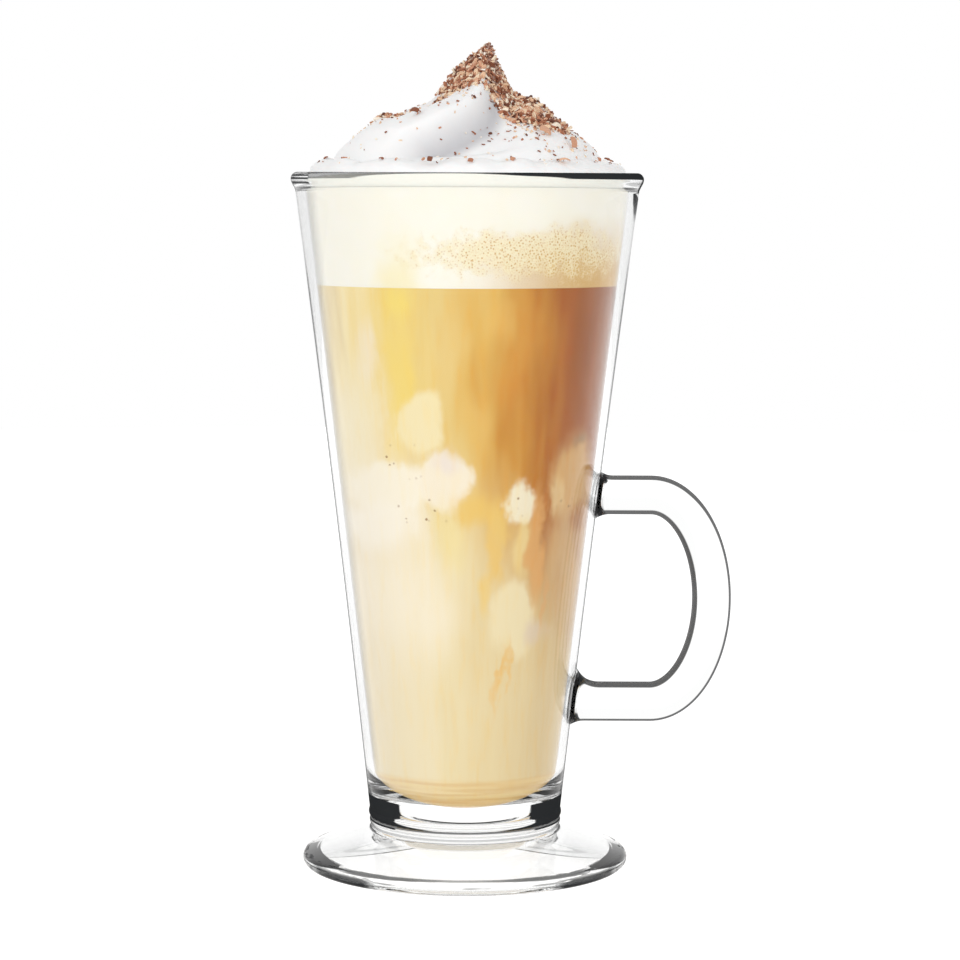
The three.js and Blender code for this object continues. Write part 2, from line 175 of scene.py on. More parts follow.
def arc(centre_r, centre_z, radius, start, end, steps):
    points = []
    for i in range(steps + 1):
        angle = start + (end - start) * i / steps
        points.append((centre_r + radius * math.cos(angle), centre_z + radius * math.sin(angle)))
    return points


def floor_curve(inset, steps):
    """Inside of the cup from the flat floor up to where the straight wall begins."""
    points = []
    for i in range(steps + 1):
        angle = QUARTER_TURN * (1 - i / steps)
        z = rise_top - (FLOOR_RISE - inset) * math.sin(angle)
        points.append((wall_radius(z, inset) - (FLOOR_CORNER - inset) * (1 - math.cos(angle)), z))
    return points


def wall_points(start, end, inset, steps):
    levels = [start + (end - start) * i / steps for i in range(steps + 1)]
    return [(inner_radius(z, inset), z) for z in levels]


# Meshes
def new_object(name, vertices, faces, smooth=True):
    mesh = bpy.data.meshes.new(name)
    placed = [(x * MM + AXIS.x, y * MM + AXIS.y, z * MM) for x, y, z in vertices]
    mesh.from_pydata(placed, [], faces)
    mesh.validate()
    mesh.polygons.foreach_set("use_smooth", [smooth] * len(mesh.polygons))
    obj = bpy.data.objects.new(name, mesh)
    bpy.context.scene.collection.objects.link(obj)
    return obj


def ring_at(radius, z, segments):
    """Points of a level circle round the axis."""
    turns = [FULL_TURN * i / segments for i in range(segments)]
    return [(radius * math.cos(turn), radius * math.sin(turn), z) for turn in turns]


def skin_faces(rings, segments):
    """Faces over a stack of rings, closed by a point below and a point above."""
    top = 1 + (rings - 1) * segments
    faces = []
    for i in range(segments):
        j = (i + 1) % segments
        faces.append((0, 1 + j, 1 + i))
        for a in range(1, top, segments):
            b = a + segments
            faces.append((a + i, a + j, b + j, b + i))
        faces.append((top + i, top + j, top + segments))
    return faces


def revolve(profile, segments):
    """Vertices and faces of an outline that starts and ends on the axis."""
    rings = [ring_at(r, z, segments) for r, z in profile if r > BOX_MARGIN / 2]
    vertices = [(0, 0, profile[0][1])]
    vertices += [point for ring in rings for point in ring]
    vertices.append((0, 0, profile[-1][1]))
    return vertices, skin_faces(len(rings), segments)


def face_outward(obj):
    work = bmesh.new()
    work.from_mesh(obj.data)
    bmesh.ops.recalc_face_normals(work, faces=work.faces)
    work.to_mesh(obj.data)
    work.free()


def store(obj, name, kind, values):
    """Keep a value, or a vector as three values in a row, with each vertex."""
    attribute = obj.data.attributes.new(name, kind, "POINT")
    attribute.data.foreach_set("vector" if kind == "FLOAT_VECTOR" else "value", values)


def finish_piece(obj, material, slot, *nodes):
    obj.data.materials.clear()
    obj.data.materials.append(material)
    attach(obj, BODY)
    if nodes:
        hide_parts(*nodes)
    return obj


# Materials
def linear(red, green, blue):
    """A colour written in 0 to 255 as the shader takes it."""
    def one(value):
        share = value / 255
        return share / 12.92 if share <= 0.04045 else ((share + 0.055) / 1.055) ** 2.4
    return (one(red), one(green), one(blue), 1)


class Graph:
    """Small helpers to write the nodes of a material, or of the world, in order."""

    def __init__(self, owner, output="ShaderNodeOutputMaterial"):
        owner.use_nodes = True
        self.owner = owner
        self.tree = owner.node_tree
        self.tree.nodes.clear()
        self.output = self.add(output)

    def add(self, kind, **settings):
        node = self.tree.nodes.new(kind)
        for name, value in settings.items():
            setattr(node, name, value)
        return node

    def put(self, socket, value):
        if isinstance(value, bpy.types.NodeSocket):
            self.tree.links.new(value, socket)
        else:
            socket.default_value = value

    def fill(self, node, *values, **named):
        """Values for a node's first sockets, or for sockets by their name."""
        for socket, value in zip(node.inputs, values):
            self.put(socket, value)
        for name, value in named.items():
            self.put(node.inputs[name.replace("_", " ")], value)
        return node.outputs[0]

    def math(self, operation, a, b=0.0):
        return self.fill(self.add("ShaderNodeMath", operation=operation), a, b)

    def times(self, first, *others):
        for other in others:
            first = self.math("MULTIPLY", first, other)
        return first

    def rest(self, share):
        """What a share leaves of 1."""
        return self.math("SUBTRACT", 1.0, share)

    def vector(self, operation, a, b):
        return self.fill(self.add("ShaderNodeVectorMath", operation=operation), a, b)

    def length(self, vector):
        node = self.add("ShaderNodeVectorMath", operation="LENGTH")
        self.fill(node, vector)
        return node.outputs["Value"]

    def scaled(self, vector, factor):
        node = self.add("ShaderNodeVectorMath", operation="SCALE")
        return self.fill(node, vector, Scale=factor)

    def split(self, vector):
        node = self.add("ShaderNodeSeparateXYZ")
        self.fill(node, vector)
        return node.outputs

    def join(self, x, y, z):
        return self.fill(self.add("ShaderNodeCombineXYZ"), x, y, z)

    def place(self):
        """Millimetres from the cup's axis."""
        node = self.add("ShaderNodeTexCoord")
        moved = self.vector("SUBTRACT", node.outputs["Object"], tuple(AXIS))
        return self.scaled(moved, 1 / MM)

    def away(self, vector, x, z, wide, tall):
        """Distance from a place in the front view, in half widths and half heights."""
        moved = self.vector("SUBTRACT", vector, (x, 0, z))
        return self.length(self.vector("MULTIPLY", moved, (1 / wide, 0, 1 / tall)))

    def attribute(self, name, output="Fac"):
        return self.add("ShaderNodeAttribute", attribute_name=name).outputs[output]

    def noise(self, vector, scale, detail=2.0, rough=0.5, output="Fac"):
        node = self.add("ShaderNodeTexNoise")
        self.fill(node, Vector=vector, Scale=scale, Detail=detail, Roughness=rough)
        return node.outputs[output]

    def streaks(self, stretch, detail, rough=0.5):
        """Noise drawn out along an axis."""
        return self.noise(self.vector("MULTIPLY", self.place(), stretch), 1.0, detail, rough)

    def shift(self, stretch, scale, detail, reach):
        """A random shift of a place, as far as the reach to either side."""
        vector = self.vector("MULTIPLY", self.place(), stretch)
        colour = self.noise(vector, scale, detail, 0.5, "Color")
        return self.scaled(self.vector("SUBTRACT", colour, (0.5, 0.5, 0.5)), 2 * reach)

    def voronoi(self, vector, scale):
        node = self.add("ShaderNodeTexVoronoi")
        self.fill(node, Vector=vector, Scale=scale)
        return node.outputs["Distance"]

    def fade(self, value, start, end, low=0.0, high=1.0):
        """A smooth step of a value between two limits."""
        node = self.add("ShaderNodeMapRange", interpolation_type="SMOOTHSTEP")
        return self.fill(
            node, Value=value, From_Min=start, From_Max=end, To_Min=low, To_Max=high
        )

    def ramp(self, value, stops):
        """Colours, written in 0 to 255, along a value from 0 to 1."""
        node = self.add("ShaderNodeValToRGB")
        elements = node.color_ramp.elements
        while len(elements) > 1:
            elements.remove(elements[-1])
        for i, (place, colour) in enumerate(stops):
            element = elements[0] if i == 0 else elements.new(place)
            element.position = place
            element.color = linear(*colour)
        return self.fill(node, value)

    def mix(self, share, a, b, blend="MIX"):
        node = self.add("ShaderNodeMix", data_type="RGBA", blend_type=blend)
        for socket, value in ((0, share), (6, a), (7, b)):
            self.put(node.inputs[socket], value)
        return node.outputs[2]

    def bump(self, height, strength, distance):
        node = self.add("ShaderNodeBump")
        return self.fill(node, Strength=strength, Distance=distance, Height=height)

    def principled(self, **values):
        return self.fill(self.add("ShaderNodeBsdfPrincipled"), **values)

    def blend(self, share, a, b):
        return self.fill(self.add("ShaderNodeMixShader"), share, a, b)

    def light_paths(self):
        return self.add("ShaderNodeLightPath").outputs

    def looked_at(self):
        """1 where the camera sees a thing, straight or in and through another."""
        paths = self.light_paths()
        seen = self.math("MAXIMUM", paths["Is Camera Ray"], paths["Is Glossy Ray"])
        return self.math("MAXIMUM", seen, paths["Is Transmission Ray"])

    def finish(self, shader):
        self.tree.links.new(shader, self.output.inputs["Surface"])
        return self.owner


def new_graph(name):
    return Graph(bpy.data.materials.new(name))


# Glass material
# Painted dark edges of the glass, in place of black cards seen reflected and refracted in it
EDGE = "edge_line"  # where the dark edge begins, how softly and how dark it is
EDGE_MORE = "edge_more"  # how unevenly it begins, where it clears and how solid it is
CLEAR_GLASS = (0.99, 0.994, 0.992, 1)
BLACK = (0.0, 0.0, 0.0, 1)
PAINTED_DARK_EDGE = (0.028, 0.03, 0.032, 1)
UNEVEN_STRETCH = (0.22, 0.22, 2.4)
UNEVEN_REACH = 4.0
CLEARING_WIDTH = 0.05
CLEARING_SHARE = 0.92
OUTLINE_FACING = (0.955, 0.985)  # an edge that has cleared is dark again from here
BEYOND_LOSS = 0.6  # how much of a dark edge is lost in reflections and behind glass


def glass_material():
    g = new_graph("clear_glass_moulded")
    begin, soft, depth = g.split(g.attribute(EDGE, "Vector"))
    uneven, release, solid = g.split(g.attribute(EDGE_MORE, "Vector"))
    weight = g.add("ShaderNodeLayerWeight")
    g.fill(weight, Blend=0.5)
    facing = weight.outputs["Facing"]
    wobble = g.math("SUBTRACT", g.streaks(UNEVEN_STRETCH, 2, 0.6), 0.5)
    begin = g.math("ADD", begin, g.times(wobble, uneven, UNEVEN_REACH))
    line = g.times(g.fade(facing, begin, g.math("ADD", begin, soft)), depth)
    clearing = g.fade(facing, release, g.math("ADD", release, CLEARING_WIDTH))
    outline = g.fade(facing, *OUTLINE_FACING)
    line = g.times(line, g.rest(g.times(clearing, g.rest(outline), CLEARING_SHARE)))
    paths = g.light_paths()
    lost = g.times(g.rest(paths["Is Camera Ray"]), solid, BEYOND_LOSS)
    line = g.times(line, g.rest(lost))
    # The glass is tinted towards black along the painted dark edges
    glass = g.principled(
        Base_Color=g.mix(line, CLEAR_GLASS, BLACK),
        Roughness=0.0,
        IOR=1.5,
        Specular_IOR_Level=0.05,
        Specular_Tint=(0.25, 0.25, 0.25, 1),
        Transmission_Weight=1.0,
    )
    # A dark dull surface mixed in where a painted dark edge is solid
    dark = g.principled(Base_Color=PAINTED_DARK_EDGE, Roughness=0.4, Specular_IOR_Level=0.0)
    shader = g.blend(g.times(line, solid), glass, dark)
    clear = g.add("ShaderNodeBsdfTransparent").outputs[0]
    for name in ("Is Shadow Ray", "Is Diffuse Ray"):
        shader = g.blend(paths[name], shader, clear)
    return g.finish(shader)


# Drink
# Clouds of milk and coffee in the drink, and one painted shadow: place from the axis, half width
# and half height, colour, how strongly it covers and the share that is full
CLOUDS = [
    (-4, 112, 6, 15, (240, 210, 140), 0.4, 0.1),
    (-13.2, 107, 3.6, 17, (246, 217, 116), 0.65, 0.15),
    (-13.5, 123.5, 2.6, 5, (249, 224, 110), 0.5, 0.1),
    (10.5, 112, 4.4, 18, (224, 162, 76), 0.5, 0.2),
    (5.5, 121, 3.2, 5.5, (239, 194, 108), 0.5, 0.1),
    (3, 99, 3.4, 9, (238, 198, 116), 0.45, 0.1),
    (-21.3, 113.5, 3.6, 8, (246, 232, 208), 0.75, 0.1),
    (-22.5, 97, 6.4, 17, (247, 234, 198), 0.75, 0.2),
    (-8.3, 99.5, 5.4, 6.6, (246, 230, 184), 0.92, 0.8),
    (-16, 85, 8.5, 6.2, (251, 241, 219), 0.95, 0.75),
    (-4.6, 86.6, 5.6, 6, (249, 237, 214), 0.92, 0.8),
    (-4, 90.6, 3.8, 3.2, (238, 224, 214), 0.7, 0.1),
    (-18, 76.5, 9.5, 6.4, (252, 243, 225), 0.85, 0.4),
    (-3.6, 75, 4.6, 9, (245, 225, 158), 0.6, 0.15),
    (21.3, 86.5, 5, 11, (222, 180, 120), 0.85, 0.5),
    (20.4, 68, 4.2, 15, (222, 186, 132), 0.7, 0.3),
    (18.4, 83, 1.9, 6, (232, 202, 148), 0.65, 0.3),
    (10.4, 82.8, 3.6, 4.2, (247, 237, 208), 0.92, 0.7),
    (11.3, 74, 2.6, 8.5, (241, 216, 152), 0.75, 0.35),
    (-12, 58, 11, 17, (252, 241, 218), 0.6, 0.15),
    (9.4, 56.5, 4.6, 9.6, (242, 225, 182), 0.92, 0.75),
    (2, 81, 4.6, 4.2, (239, 198, 104), 0.75, 0.3),
    (6.2, 78, 2.2, 6.5, (240, 202, 114), 0.75, 0.3),
    (4.6, 70.5, 1.8, 7.5, (238, 197, 110), 0.8, 0.3),
    (3, 62, 1.9, 5.5, (240, 205, 124), 0.75, 0.2),
    (14.4, 73, 2.1, 14.5, (226, 170, 104), 0.88, 0.45),
    (16.4, 59.5, 0.6, 7.5, (222, 168, 106), 0.7, 0.2),
    (7.1, 43.6, 0.6, 8.8, (236, 187, 104), 0.85, 0.3),
    (13.8, 53.2, 3.4, 4, (222, 200, 178), 0.75, 0.3),
    # Painted shadow: a small dark patch, not milk or coffee
    (21.8, 95.6, 2.4, 1.7, (150, 120, 84), 0.6, 0.1),
]

# Where grounds float: place, half width and half height
SPECK_FIELDS = [
    (-9, 57.5, 4.2, 4),
    (-13, 90.5, 6, 5),
    (11, 81, 6, 3),
    (-9, 80, 7, 4),
    (22, 80, 4, 5),
]

# Colours across the drink: place as a share of its width, and colour. The darker first stop of
# each is painted shade at the drink's left edge.
COFFEE_ACROSS = [
    (0.03, (226, 204, 154)),
    (0.11, (247, 228, 176)),
    (0.275, (240, 211, 128)),
    (0.415, (232, 203, 130)),
    (0.54, (227, 183, 96)),
    (0.665, (206, 145, 62)),
    (0.79, (172, 98, 38)),
    (0.885, (158, 88, 26)),
    (0.97, (142, 76, 14)),
]
MILK_ACROSS = [
    (0.03, (224, 206, 166)),
    (0.2, (247, 234, 208)),
    (0.35, (245, 230, 196)),
    (0.45, (239, 221, 176)),
    (0.575, (232, 209, 158)),
    (0.68, (226, 199, 146)),
    (0.8, (215, 182, 126)),
    (0.93, (198, 160, 108)),
]
WIDTH_SCALE = 33.0  # half width of the drink that the shares stand for
# Random shifts that bend the clouds: stretch, scale, detail and reach
DRINK_SHIFTS = [
    ((1, 1, 0.5), 0.08, 1, 4.5),
    ((1, 1, 0.45), 0.32, 2, 1.8),
    ((1, 1, 0.7), 1.1, 3, 0.7),
]
BANDS_STRETCH = (0.2, 0.2, 0.016)
BANDS_REACH = 0.5
MIXING_HEIGHTS = (62.0, 100.0)  # milk alone below, coffee alone above
SINKING = 0.85  # how much lower the coffee reaches for each millimetre to the left
SINKING_FROM = -20.0
# Fades by height: where they start and end, and the shares there
SETTLING = (66.0, 34.0, 0.0, 0.4)
AMBER_UPPER = (22.4, 21.0, 0.0, 0.45)
AMBER_LOWER = (19.5, 16.0, 0.0, 0.35)
UNDERSIDE = (14.6, 13.2)
RINGS_STRETCH = (0.06, 0.06, 1.3)
RINGS_FADE = (0.35, 0.65)
GRAIN_STRETCH = (0.9, 0.9, 0.05)
GRAIN_FADE = (0.45, 0.75, 0.0, 0.3)
SETTLED_MILK = linear(238, 221, 178)
AMBER_PALE = linear(240, 207, 142)
AMBER_DEEP = linear(222, 174, 100)
MILK_WHITE = linear(252, 247, 236)
COFFEE_GRAIN = linear(206, 150, 86)
CLOUD_EDGE = 1.2  # half widths at which a cloud has faded out

# Grounds
SPECK_SCALE = 0.6
SPECK_SIZE = (0.24, 0.12)
SPECK_FIELD_EDGE = (1.0, 0.5)
SPECK_CHOICE = (0.5, 0.56)
SPECK_SHARE = 0.8
SPECK_BROWN = linear(150, 108, 66)


def drink_colour(g):
    """Coffee above, milk below, with clouds and streaks between them, a painted shadow and
    painted shade at the left edge.
    """
    x, _, z = g.split(g.place())
    front = g.join(x, 0.0, z)
    bent = front
    for shift in DRINK_SHIFTS:
        bent = g.vector("ADD", bent, g.shift(*shift))
    bent_x, _, bent_z = g.split(bent)
    across = g.math("DIVIDE", g.math("ADD", x, bent_x), 2 * WIDTH_SCALE)
    bands = g.math("SUBTRACT", g.streaks(BANDS_STRETCH, 2), 0.5)
    across = g.math("ADD", across, g.times(bands, BANDS_REACH))
    along = g.math("ADD", g.times(across, 0.5), 0.5)
    sunk = g.times(g.math("MAXIMUM", bent_x, SINKING_FROM), SINKING)
    level = g.math("ADD", bent_z, sunk)
    milk, coffee = g.ramp(along, MILK_ACROSS), g.ramp(along, COFFEE_ACROSS)
    colour = g.mix(g.fade(level, *MIXING_HEIGHTS), milk, coffee)
    for cloud_x, cloud_z, wide, tall, shade, cover, inside in CLOUDS:
        away = g.away(bent, cloud_x, cloud_z, wide, tall)
        colour = g.mix(g.fade(away, CLOUD_EDGE, inside, 0.0, cover), colour, linear(*shade))
    colour = g.mix(g.fade(z, *SETTLING), colour, SETTLED_MILK)
    rings = g.streaks(RINGS_STRETCH, 1)
    amber = g.mix(g.fade(rings, *RINGS_FADE), AMBER_PALE, AMBER_DEEP)
    bottom = g.math("ADD", g.fade(z, *AMBER_UPPER), g.fade(z, *AMBER_LOWER))
    colour = g.mix(bottom, colour, amber)
    colour = g.mix(g.fade(z, *UNDERSIDE), colour, MILK_WHITE)
    grain = g.fade(g.streaks(GRAIN_STRETCH, 3, 0.6), *GRAIN_FADE)
    colour = g.mix(grain, colour, COFFEE_GRAIN, "SOFT_LIGHT")
    return g.mix(specks(g, front), colour, SPECK_BROWN)


def specks(g, front):
    """Share of the fine grounds, only in the places where they float."""
    place = g.place()
    dots = g.fade(g.voronoi(place, SPECK_SCALE), *SPECK_SIZE)
    fields = 0.0
    for field in SPECK_FIELDS:
        near = g.fade(g.away(front, *field), *SPECK_FIELD_EDGE)
        fields = g.math("MAXIMUM", fields, near)
    chosen = g.fade(g.noise(place, 0.35, 0), *SPECK_CHOICE)
    return g.times(dots, fields, chosen, SPECK_SHARE)


def drink_material(name):
    g = new_graph(name)
    return g.finish(
        g.principled(Base_Color=drink_colour(g), Roughness=0.5, Specular_IOR_Level=0.0)
    )


# Foam: fades by height and across, and the patch of bubbles on the right
FOAM_SHIFT = ((1, 1, 0.8), 0.12, 2, 4.0)
FOAM_SHADE_HEIGHTS = (COFFEE_TOP + 16, COFFEE_TOP + 3)
FOAM_SHADE_ACROSS = (-6.0, 27.0)
FOAM_WARM_PLACE = -14.0
FOAM_WARM_ACROSS = (7.0, 1.0)
FOAM_WARM_HEIGHTS = (COFFEE_TOP + 15, COFFEE_TOP + 2)
FOAM_WARM_SHARE = 0.5
BUBBLE_PATCH = (13, COFFEE_TOP + 7.2, 26, 5.6)  # middle, half width and half height
BUBBLE_PATCH_EDGE = (1.15, 0.4)
BUBBLE_PATCH_REACH = 1.2
BUBBLE_SCALE = 1.75
BUBBLE_HOLE = (0.4, 0.14)
BUBBLE_RIM_INNER = (0.36, 0.5)
BUBBLE_RIM_OUTER = (0.8, 0.62)
BUBBLE_TINT_SHARE, BUBBLE_RIM_SHARE, BUBBLE_HOLE_SHARE = 0.5, 0.6, 0.8
BUBBLE_BUMP_SCALE = 1.8
FOAM_WHITE = linear(253, 249, 238)
FOAM_CREAM = linear(251, 246, 228)
FOAM_SHADE = linear(216, 174, 106)
FOAM_WARM = linear(249, 232, 166)
BUBBLE_TINT = linear(238, 212, 146)
BUBBLE_RIM = linear(252, 244, 214)
BUBBLE_DARK = linear(204, 158, 84)


def foam_material():
    g = new_graph("milk_foam_fine")
    place = g.place()
    x, _, z = g.split(place)
    bent = g.vector("ADD", g.join(x, 0.0, z), g.shift(*FOAM_SHIFT))
    bent_x, _, bent_z = g.split(bent)
    lower = g.fade(bent_z, *FOAM_SHADE_HEIGHTS)
    right = g.fade(bent_x, *FOAM_SHADE_ACROSS)
    pale = g.mix(g.noise(place, 0.2), FOAM_WHITE, FOAM_CREAM)
    colour = g.mix(g.times(lower, right), pale, FOAM_SHADE)
    beside = g.math("ABSOLUTE", g.math("SUBTRACT", bent_x, FOAM_WARM_PLACE))
    warm = g.times(g.fade(beside, *FOAM_WARM_ACROSS), g.fade(bent_z, *FOAM_WARM_HEIGHTS))
    colour = g.mix(g.times(warm, FOAM_WARM_SHARE), colour, FOAM_WARM)
    patchy = g.times(g.math("SUBTRACT", g.noise(place, 0.5), 0.5), BUBBLE_PATCH_REACH)
    field = g.fade(g.math("ADD", g.away(bent, *BUBBLE_PATCH), patchy), *BUBBLE_PATCH_EDGE)
    cells = g.voronoi(place, BUBBLE_SCALE)
    hole = g.fade(cells, *BUBBLE_HOLE)
    ring = g.times(g.fade(cells, *BUBBLE_RIM_INNER), g.fade(cells, *BUBBLE_RIM_OUTER))
    colour = g.mix(g.times(field, BUBBLE_TINT_SHARE), colour, BUBBLE_TINT)
    colour = g.mix(g.times(ring, field, BUBBLE_RIM_SHARE), colour, BUBBLE_RIM)
    colour = g.mix(g.times(hole, field, BUBBLE_HOLE_SHARE), colour, BUBBLE_DARK)
    dimples = g.times(g.voronoi(place, BUBBLE_BUMP_SCALE), field)
    return g.finish(g.principled(
        Base_Color=colour,
        Roughness=0.6,
        Specular_IOR_Level=0.0,
        Subsurface_Weight=0.15,
        Subsurface_Radius=(1.0, 0.8, 0.5),
        Subsurface_Scale=0.001,
        Normal=g.bump(dimples, strength=0.3, distance=0.0003),
    ))


# Cream
# The hollow attribute holds painted shade for the folds of the cream
PAINTED_FOLD_SHADE = "hollow"  # how deep a place of the cream lies in a fold
DUST = "dust"  # how much fine chocolate lies on a place of the cream
CREAM_COOL = linear(246, 246, 247)
CREAM_WARM = linear(250, 249, 247)
CREAM_PAINTED_SHADE = linear(196, 195, 198)
CREAM_FOOT = linear(252, 249, 236)
CREAM_DUST = linear(148, 94, 66)
CREAM_FOOT_HEIGHTS = (mouth_level + 1.4, mouth_level + 0.2)
PAINTED_SHADE_SHARE = 0.95
DUST_SHARE = 0.85


def cream_material():
    g = new_graph("whipped_cream")
    place = g.place()
    _, _, z = g.split(place)
    grain = g.noise(place, 1.4, 4, 0.6)
    colour = g.mix(g.noise(place, 0.12), CREAM_COOL, CREAM_WARM)
    # Painted shade in the hollows of the folds
    colour = g.mix(g.times(g.attribute(PAINTED_FOLD_SHADE), PAINTED_SHADE_SHARE), colour, CREAM_PAINTED_SHADE)
    colour = g.mix(g.fade(z, *CREAM_FOOT_HEIGHTS), colour, CREAM_FOOT)
    colour = g.mix(g.times(g.attribute(DUST), DUST_SHARE), colour, CREAM_DUST)
    return g.finish(g.principled(
        Base_Color=colour,
        Roughness=g.fade(grain, 0.2, 0.8, 0.42, 0.6),
        Specular_IOR_Level=0.25,
        Subsurface_Weight=0.35,
        Subsurface_Radius=(1.0, 0.85, 0.8),
        Subsurface_Scale=0.002,
        Normal=g.bump(grain, strength=0.12, distance=0.0003),
    ))


# Chocolate
TONE = "tone"  # each shaving's own shade, from 0 to 1
CHOCOLATE_TONES = [
    (0.0, (92, 48, 30)),
    (0.2, (146, 86, 58)),
    (0.38, (196, 134, 104)),
    (0.55, (226, 178, 146)),
    (0.72, (240, 208, 174)),
    (0.88, (252, 236, 210)),
    (1.0, (255, 248, 238)),
]
CHOCOLATE_GRAIN = linear(132, 80, 60)


def chocolate_material():
    g = new_graph("grated_chocolate")
    colour = g.ramp(g.attribute(TONE), CHOCOLATE_TONES)
    grain = g.noise(g.place(), 3.2, 3, 0.6)
    colour = g.mix(g.fade(grain, 0.4, 0.75, 0.0, 0.2), colour, CHOCOLATE_GRAIN)
    return g.finish(g.principled(
        Base_Color=colour,
        Roughness=g.fade(grain, 0.3, 0.7, 0.45, 0.7),
        Specular_IOR_Level=0.35,
        Normal=g.bump(grain, strength=0.5, distance=0.0002),
    ))


# Glass: bowl and foot are one turned outline, with a collar above the foot
collar_top = neck_top + COLLAR_RINGS * COLLAR_PITCH
GLASS_SEGMENTS = 288
GLASS_CREASE = math.radians(42)
NECK_FINE = 24  # height below which the rows of the mesh lie closer
INNER_STEPS = 40
BEAD_STEPS = 26
ROLL_STEPS = 16
CONE_STEPS = 60
NECK_STEPS = 50
COLLAR_STEPS = 40
FILLET_STEPS = 8
FOOT_EDGE_STEPS = 22
FOOT_STEPS = 10
HOLLOW_STEPS = 8
HOLLOW_INSET = 3


def levels(start, end, count):
    """Heights from one to another, without the first."""
    return [start + (end - start) * i / count for i in range(1, count + 1)]


def glass_outline():
    """Half section, from the inner floor over the rim to the hollow under the foot."""
    inside = floor_curve(0, INNER_STEPS)
    rise = wall_points(rise_top, mouth_level, 0, INNER_STEPS)[1:-1]
    bead = arc(RIM_RADIUS - BEAD_RADIUS, mouth_level, BEAD_RADIUS, HALF_TURN, 0, BEAD_STEPS)
    for i in range(1, ROLL_STEPS + 1):
        share = 1 - i / ROLL_STEPS
        r = cone_top_radius + BEAD_OVERHANG * smooth(share)
        bead.append((r, cone_top + (mouth_level - cone_top) * share))
    heights = levels(cone_top, NECK_FINE, CONE_STEPS) + levels(NECK_FINE, collar_top, NECK_STEPS)
    flank = [(outer_radius(z), z) for z in heights]
    heights = levels(collar_top, neck_top, COLLAR_STEPS)[:-1]
    collar = [(outer_radius(z) + collar_bulge(z), z) for z in heights]
    seat = NECK_RADIUS + NECK_FILLET
    fillet = arc(seat, neck_top, NECK_FILLET, HALF_TURN, 3 * QUARTER_TURN, FILLET_STEPS)
    edge_radius = FOOT_EDGE / 2
    edge_r = FOOT_RADIUS - edge_radius
    tilt = math.atan((FOOT_HEIGHT - FOOT_EDGE) / (edge_r - seat))
    turn = QUARTER_TURN - tilt
    edge = arc(edge_r, edge_radius, edge_radius, turn, -QUARTER_TURN, FOOT_EDGE_STEPS)
    top = (seat, FOOT_HEIGHT)
    slope = [between(top, edge[0], i / FOOT_STEPS) for i in range(1, FOOT_STEPS)]
    ring_inner = edge_r - CONTACT_WIDTH
    hollow_top = FOOT_HEIGHT - FOOT_WALL / math.cos(tilt)
    hollow_foot = hollow_top - math.tan(tilt) * (ring_inner - seat)
    ring_side = max(hollow_foot, edge_radius / 2)
    hollow_flat = seat - HOLLOW_INSET
    low, high = (ring_inner - ring_side / 2, ring_side), (hollow_flat, hollow_top)
    under = [between(low, high, i / FOOT_STEPS) for i in range(FOOT_STEPS + 1)]
    across = [hollow_flat - hollow_flat * i / HOLLOW_STEPS for i in range(1, HOLLOW_STEPS)]
    middle = [(r, hollow_top) for r in across]
    outline = [(0, floor_level), *inside[1:], *rise, *bead, *flank, *collar, *fillet]
    return [*outline, *slope, *edge, (ring_inner, 0), *under, *middle, (0, hollow_top)]


def collar_bulge(z):
    return COLLAR_DEPTH * abs(math.sin(HALF_TURN * (z - neck_top) / COLLAR_PITCH))


# Handle: a bar along two level arms joined by half an ellipse
arm_top = HANDLE_TOP - BAR_DEPTH / 2
arm_bottom = HANDLE_BOTTOM + BAR_DEPTH / 2
loop_centre = (arm_top + arm_bottom) / 2
loop_half = (arm_top - arm_bottom) / 2
grip_reach = HANDLE_REACH - BAR_DEPTH / 2
BAR_POINTS = 48


def flare_at(distance, length):
    share = min(1, max(0, distance / length))
    return (1 - share) ** 2


def bar_point(i, pad, gusset):
    """Offset of a section point: across the loop and outwards in its plane."""
    angle = FULL_TURN * i / BAR_POINTS
    c, s = math.cos(angle), math.sin(angle)
    across = math.copysign(abs(c) ** (2 / SECTION_POWER), c) * (BAR_WIDTH / 2 + pad)
    half = BAR_DEPTH / 2 + pad + (gusset if s < 0 else 0)
    return across, math.copysign(abs(s) ** (2 / SECTION_POWER), s) * half


def arm_ring(level, outward, share):
    """Ring of an arm: share is 0 in the cup's wall and 1 where the bend starts."""
    wall = outer_radius(level)
    distance = (HANDLE_BEND - wall) * share
    pad = PAD_FLARE * flare_at(distance, PAD_LENGTH)
    gusset = GUSSET * flare_at(distance, GUSSET_LENGTH) if outward < 0 else 0
    ring = []
    for i in range(BAR_POINTS):
        across, out = bar_point(i, pad, gusset)
        z = level + outward * out
        wall_x = math.sqrt(max(0, (outer_radius(z) - WALL_SINK) ** 2 - across * across))
        ring.append((wall_x + (HANDLE_BEND - wall_x) * share, across, z))
    return ring


def bend_ring(angle):
    out_x = math.cos(angle) / (grip_reach - HANDLE_BEND)
    out_z = math.sin(angle) / loop_half
    size = math.hypot(out_x, out_z)
    x = HANDLE_BEND + (grip_reach - HANDLE_BEND) * math.cos(angle)
    z = loop_centre + loop_half * math.sin(angle)
    ring = []
    for i in range(BAR_POINTS):
        across, out = bar_point(i, 0, 0)
        ring.append((x + out_x / size * out, across, z + out_z / size * out))
    return ring


ARM_STEPS, BEND_STEPS = 26, 72
ARM_CROWDING = 1.5  # draws an arm's rings towards the cup


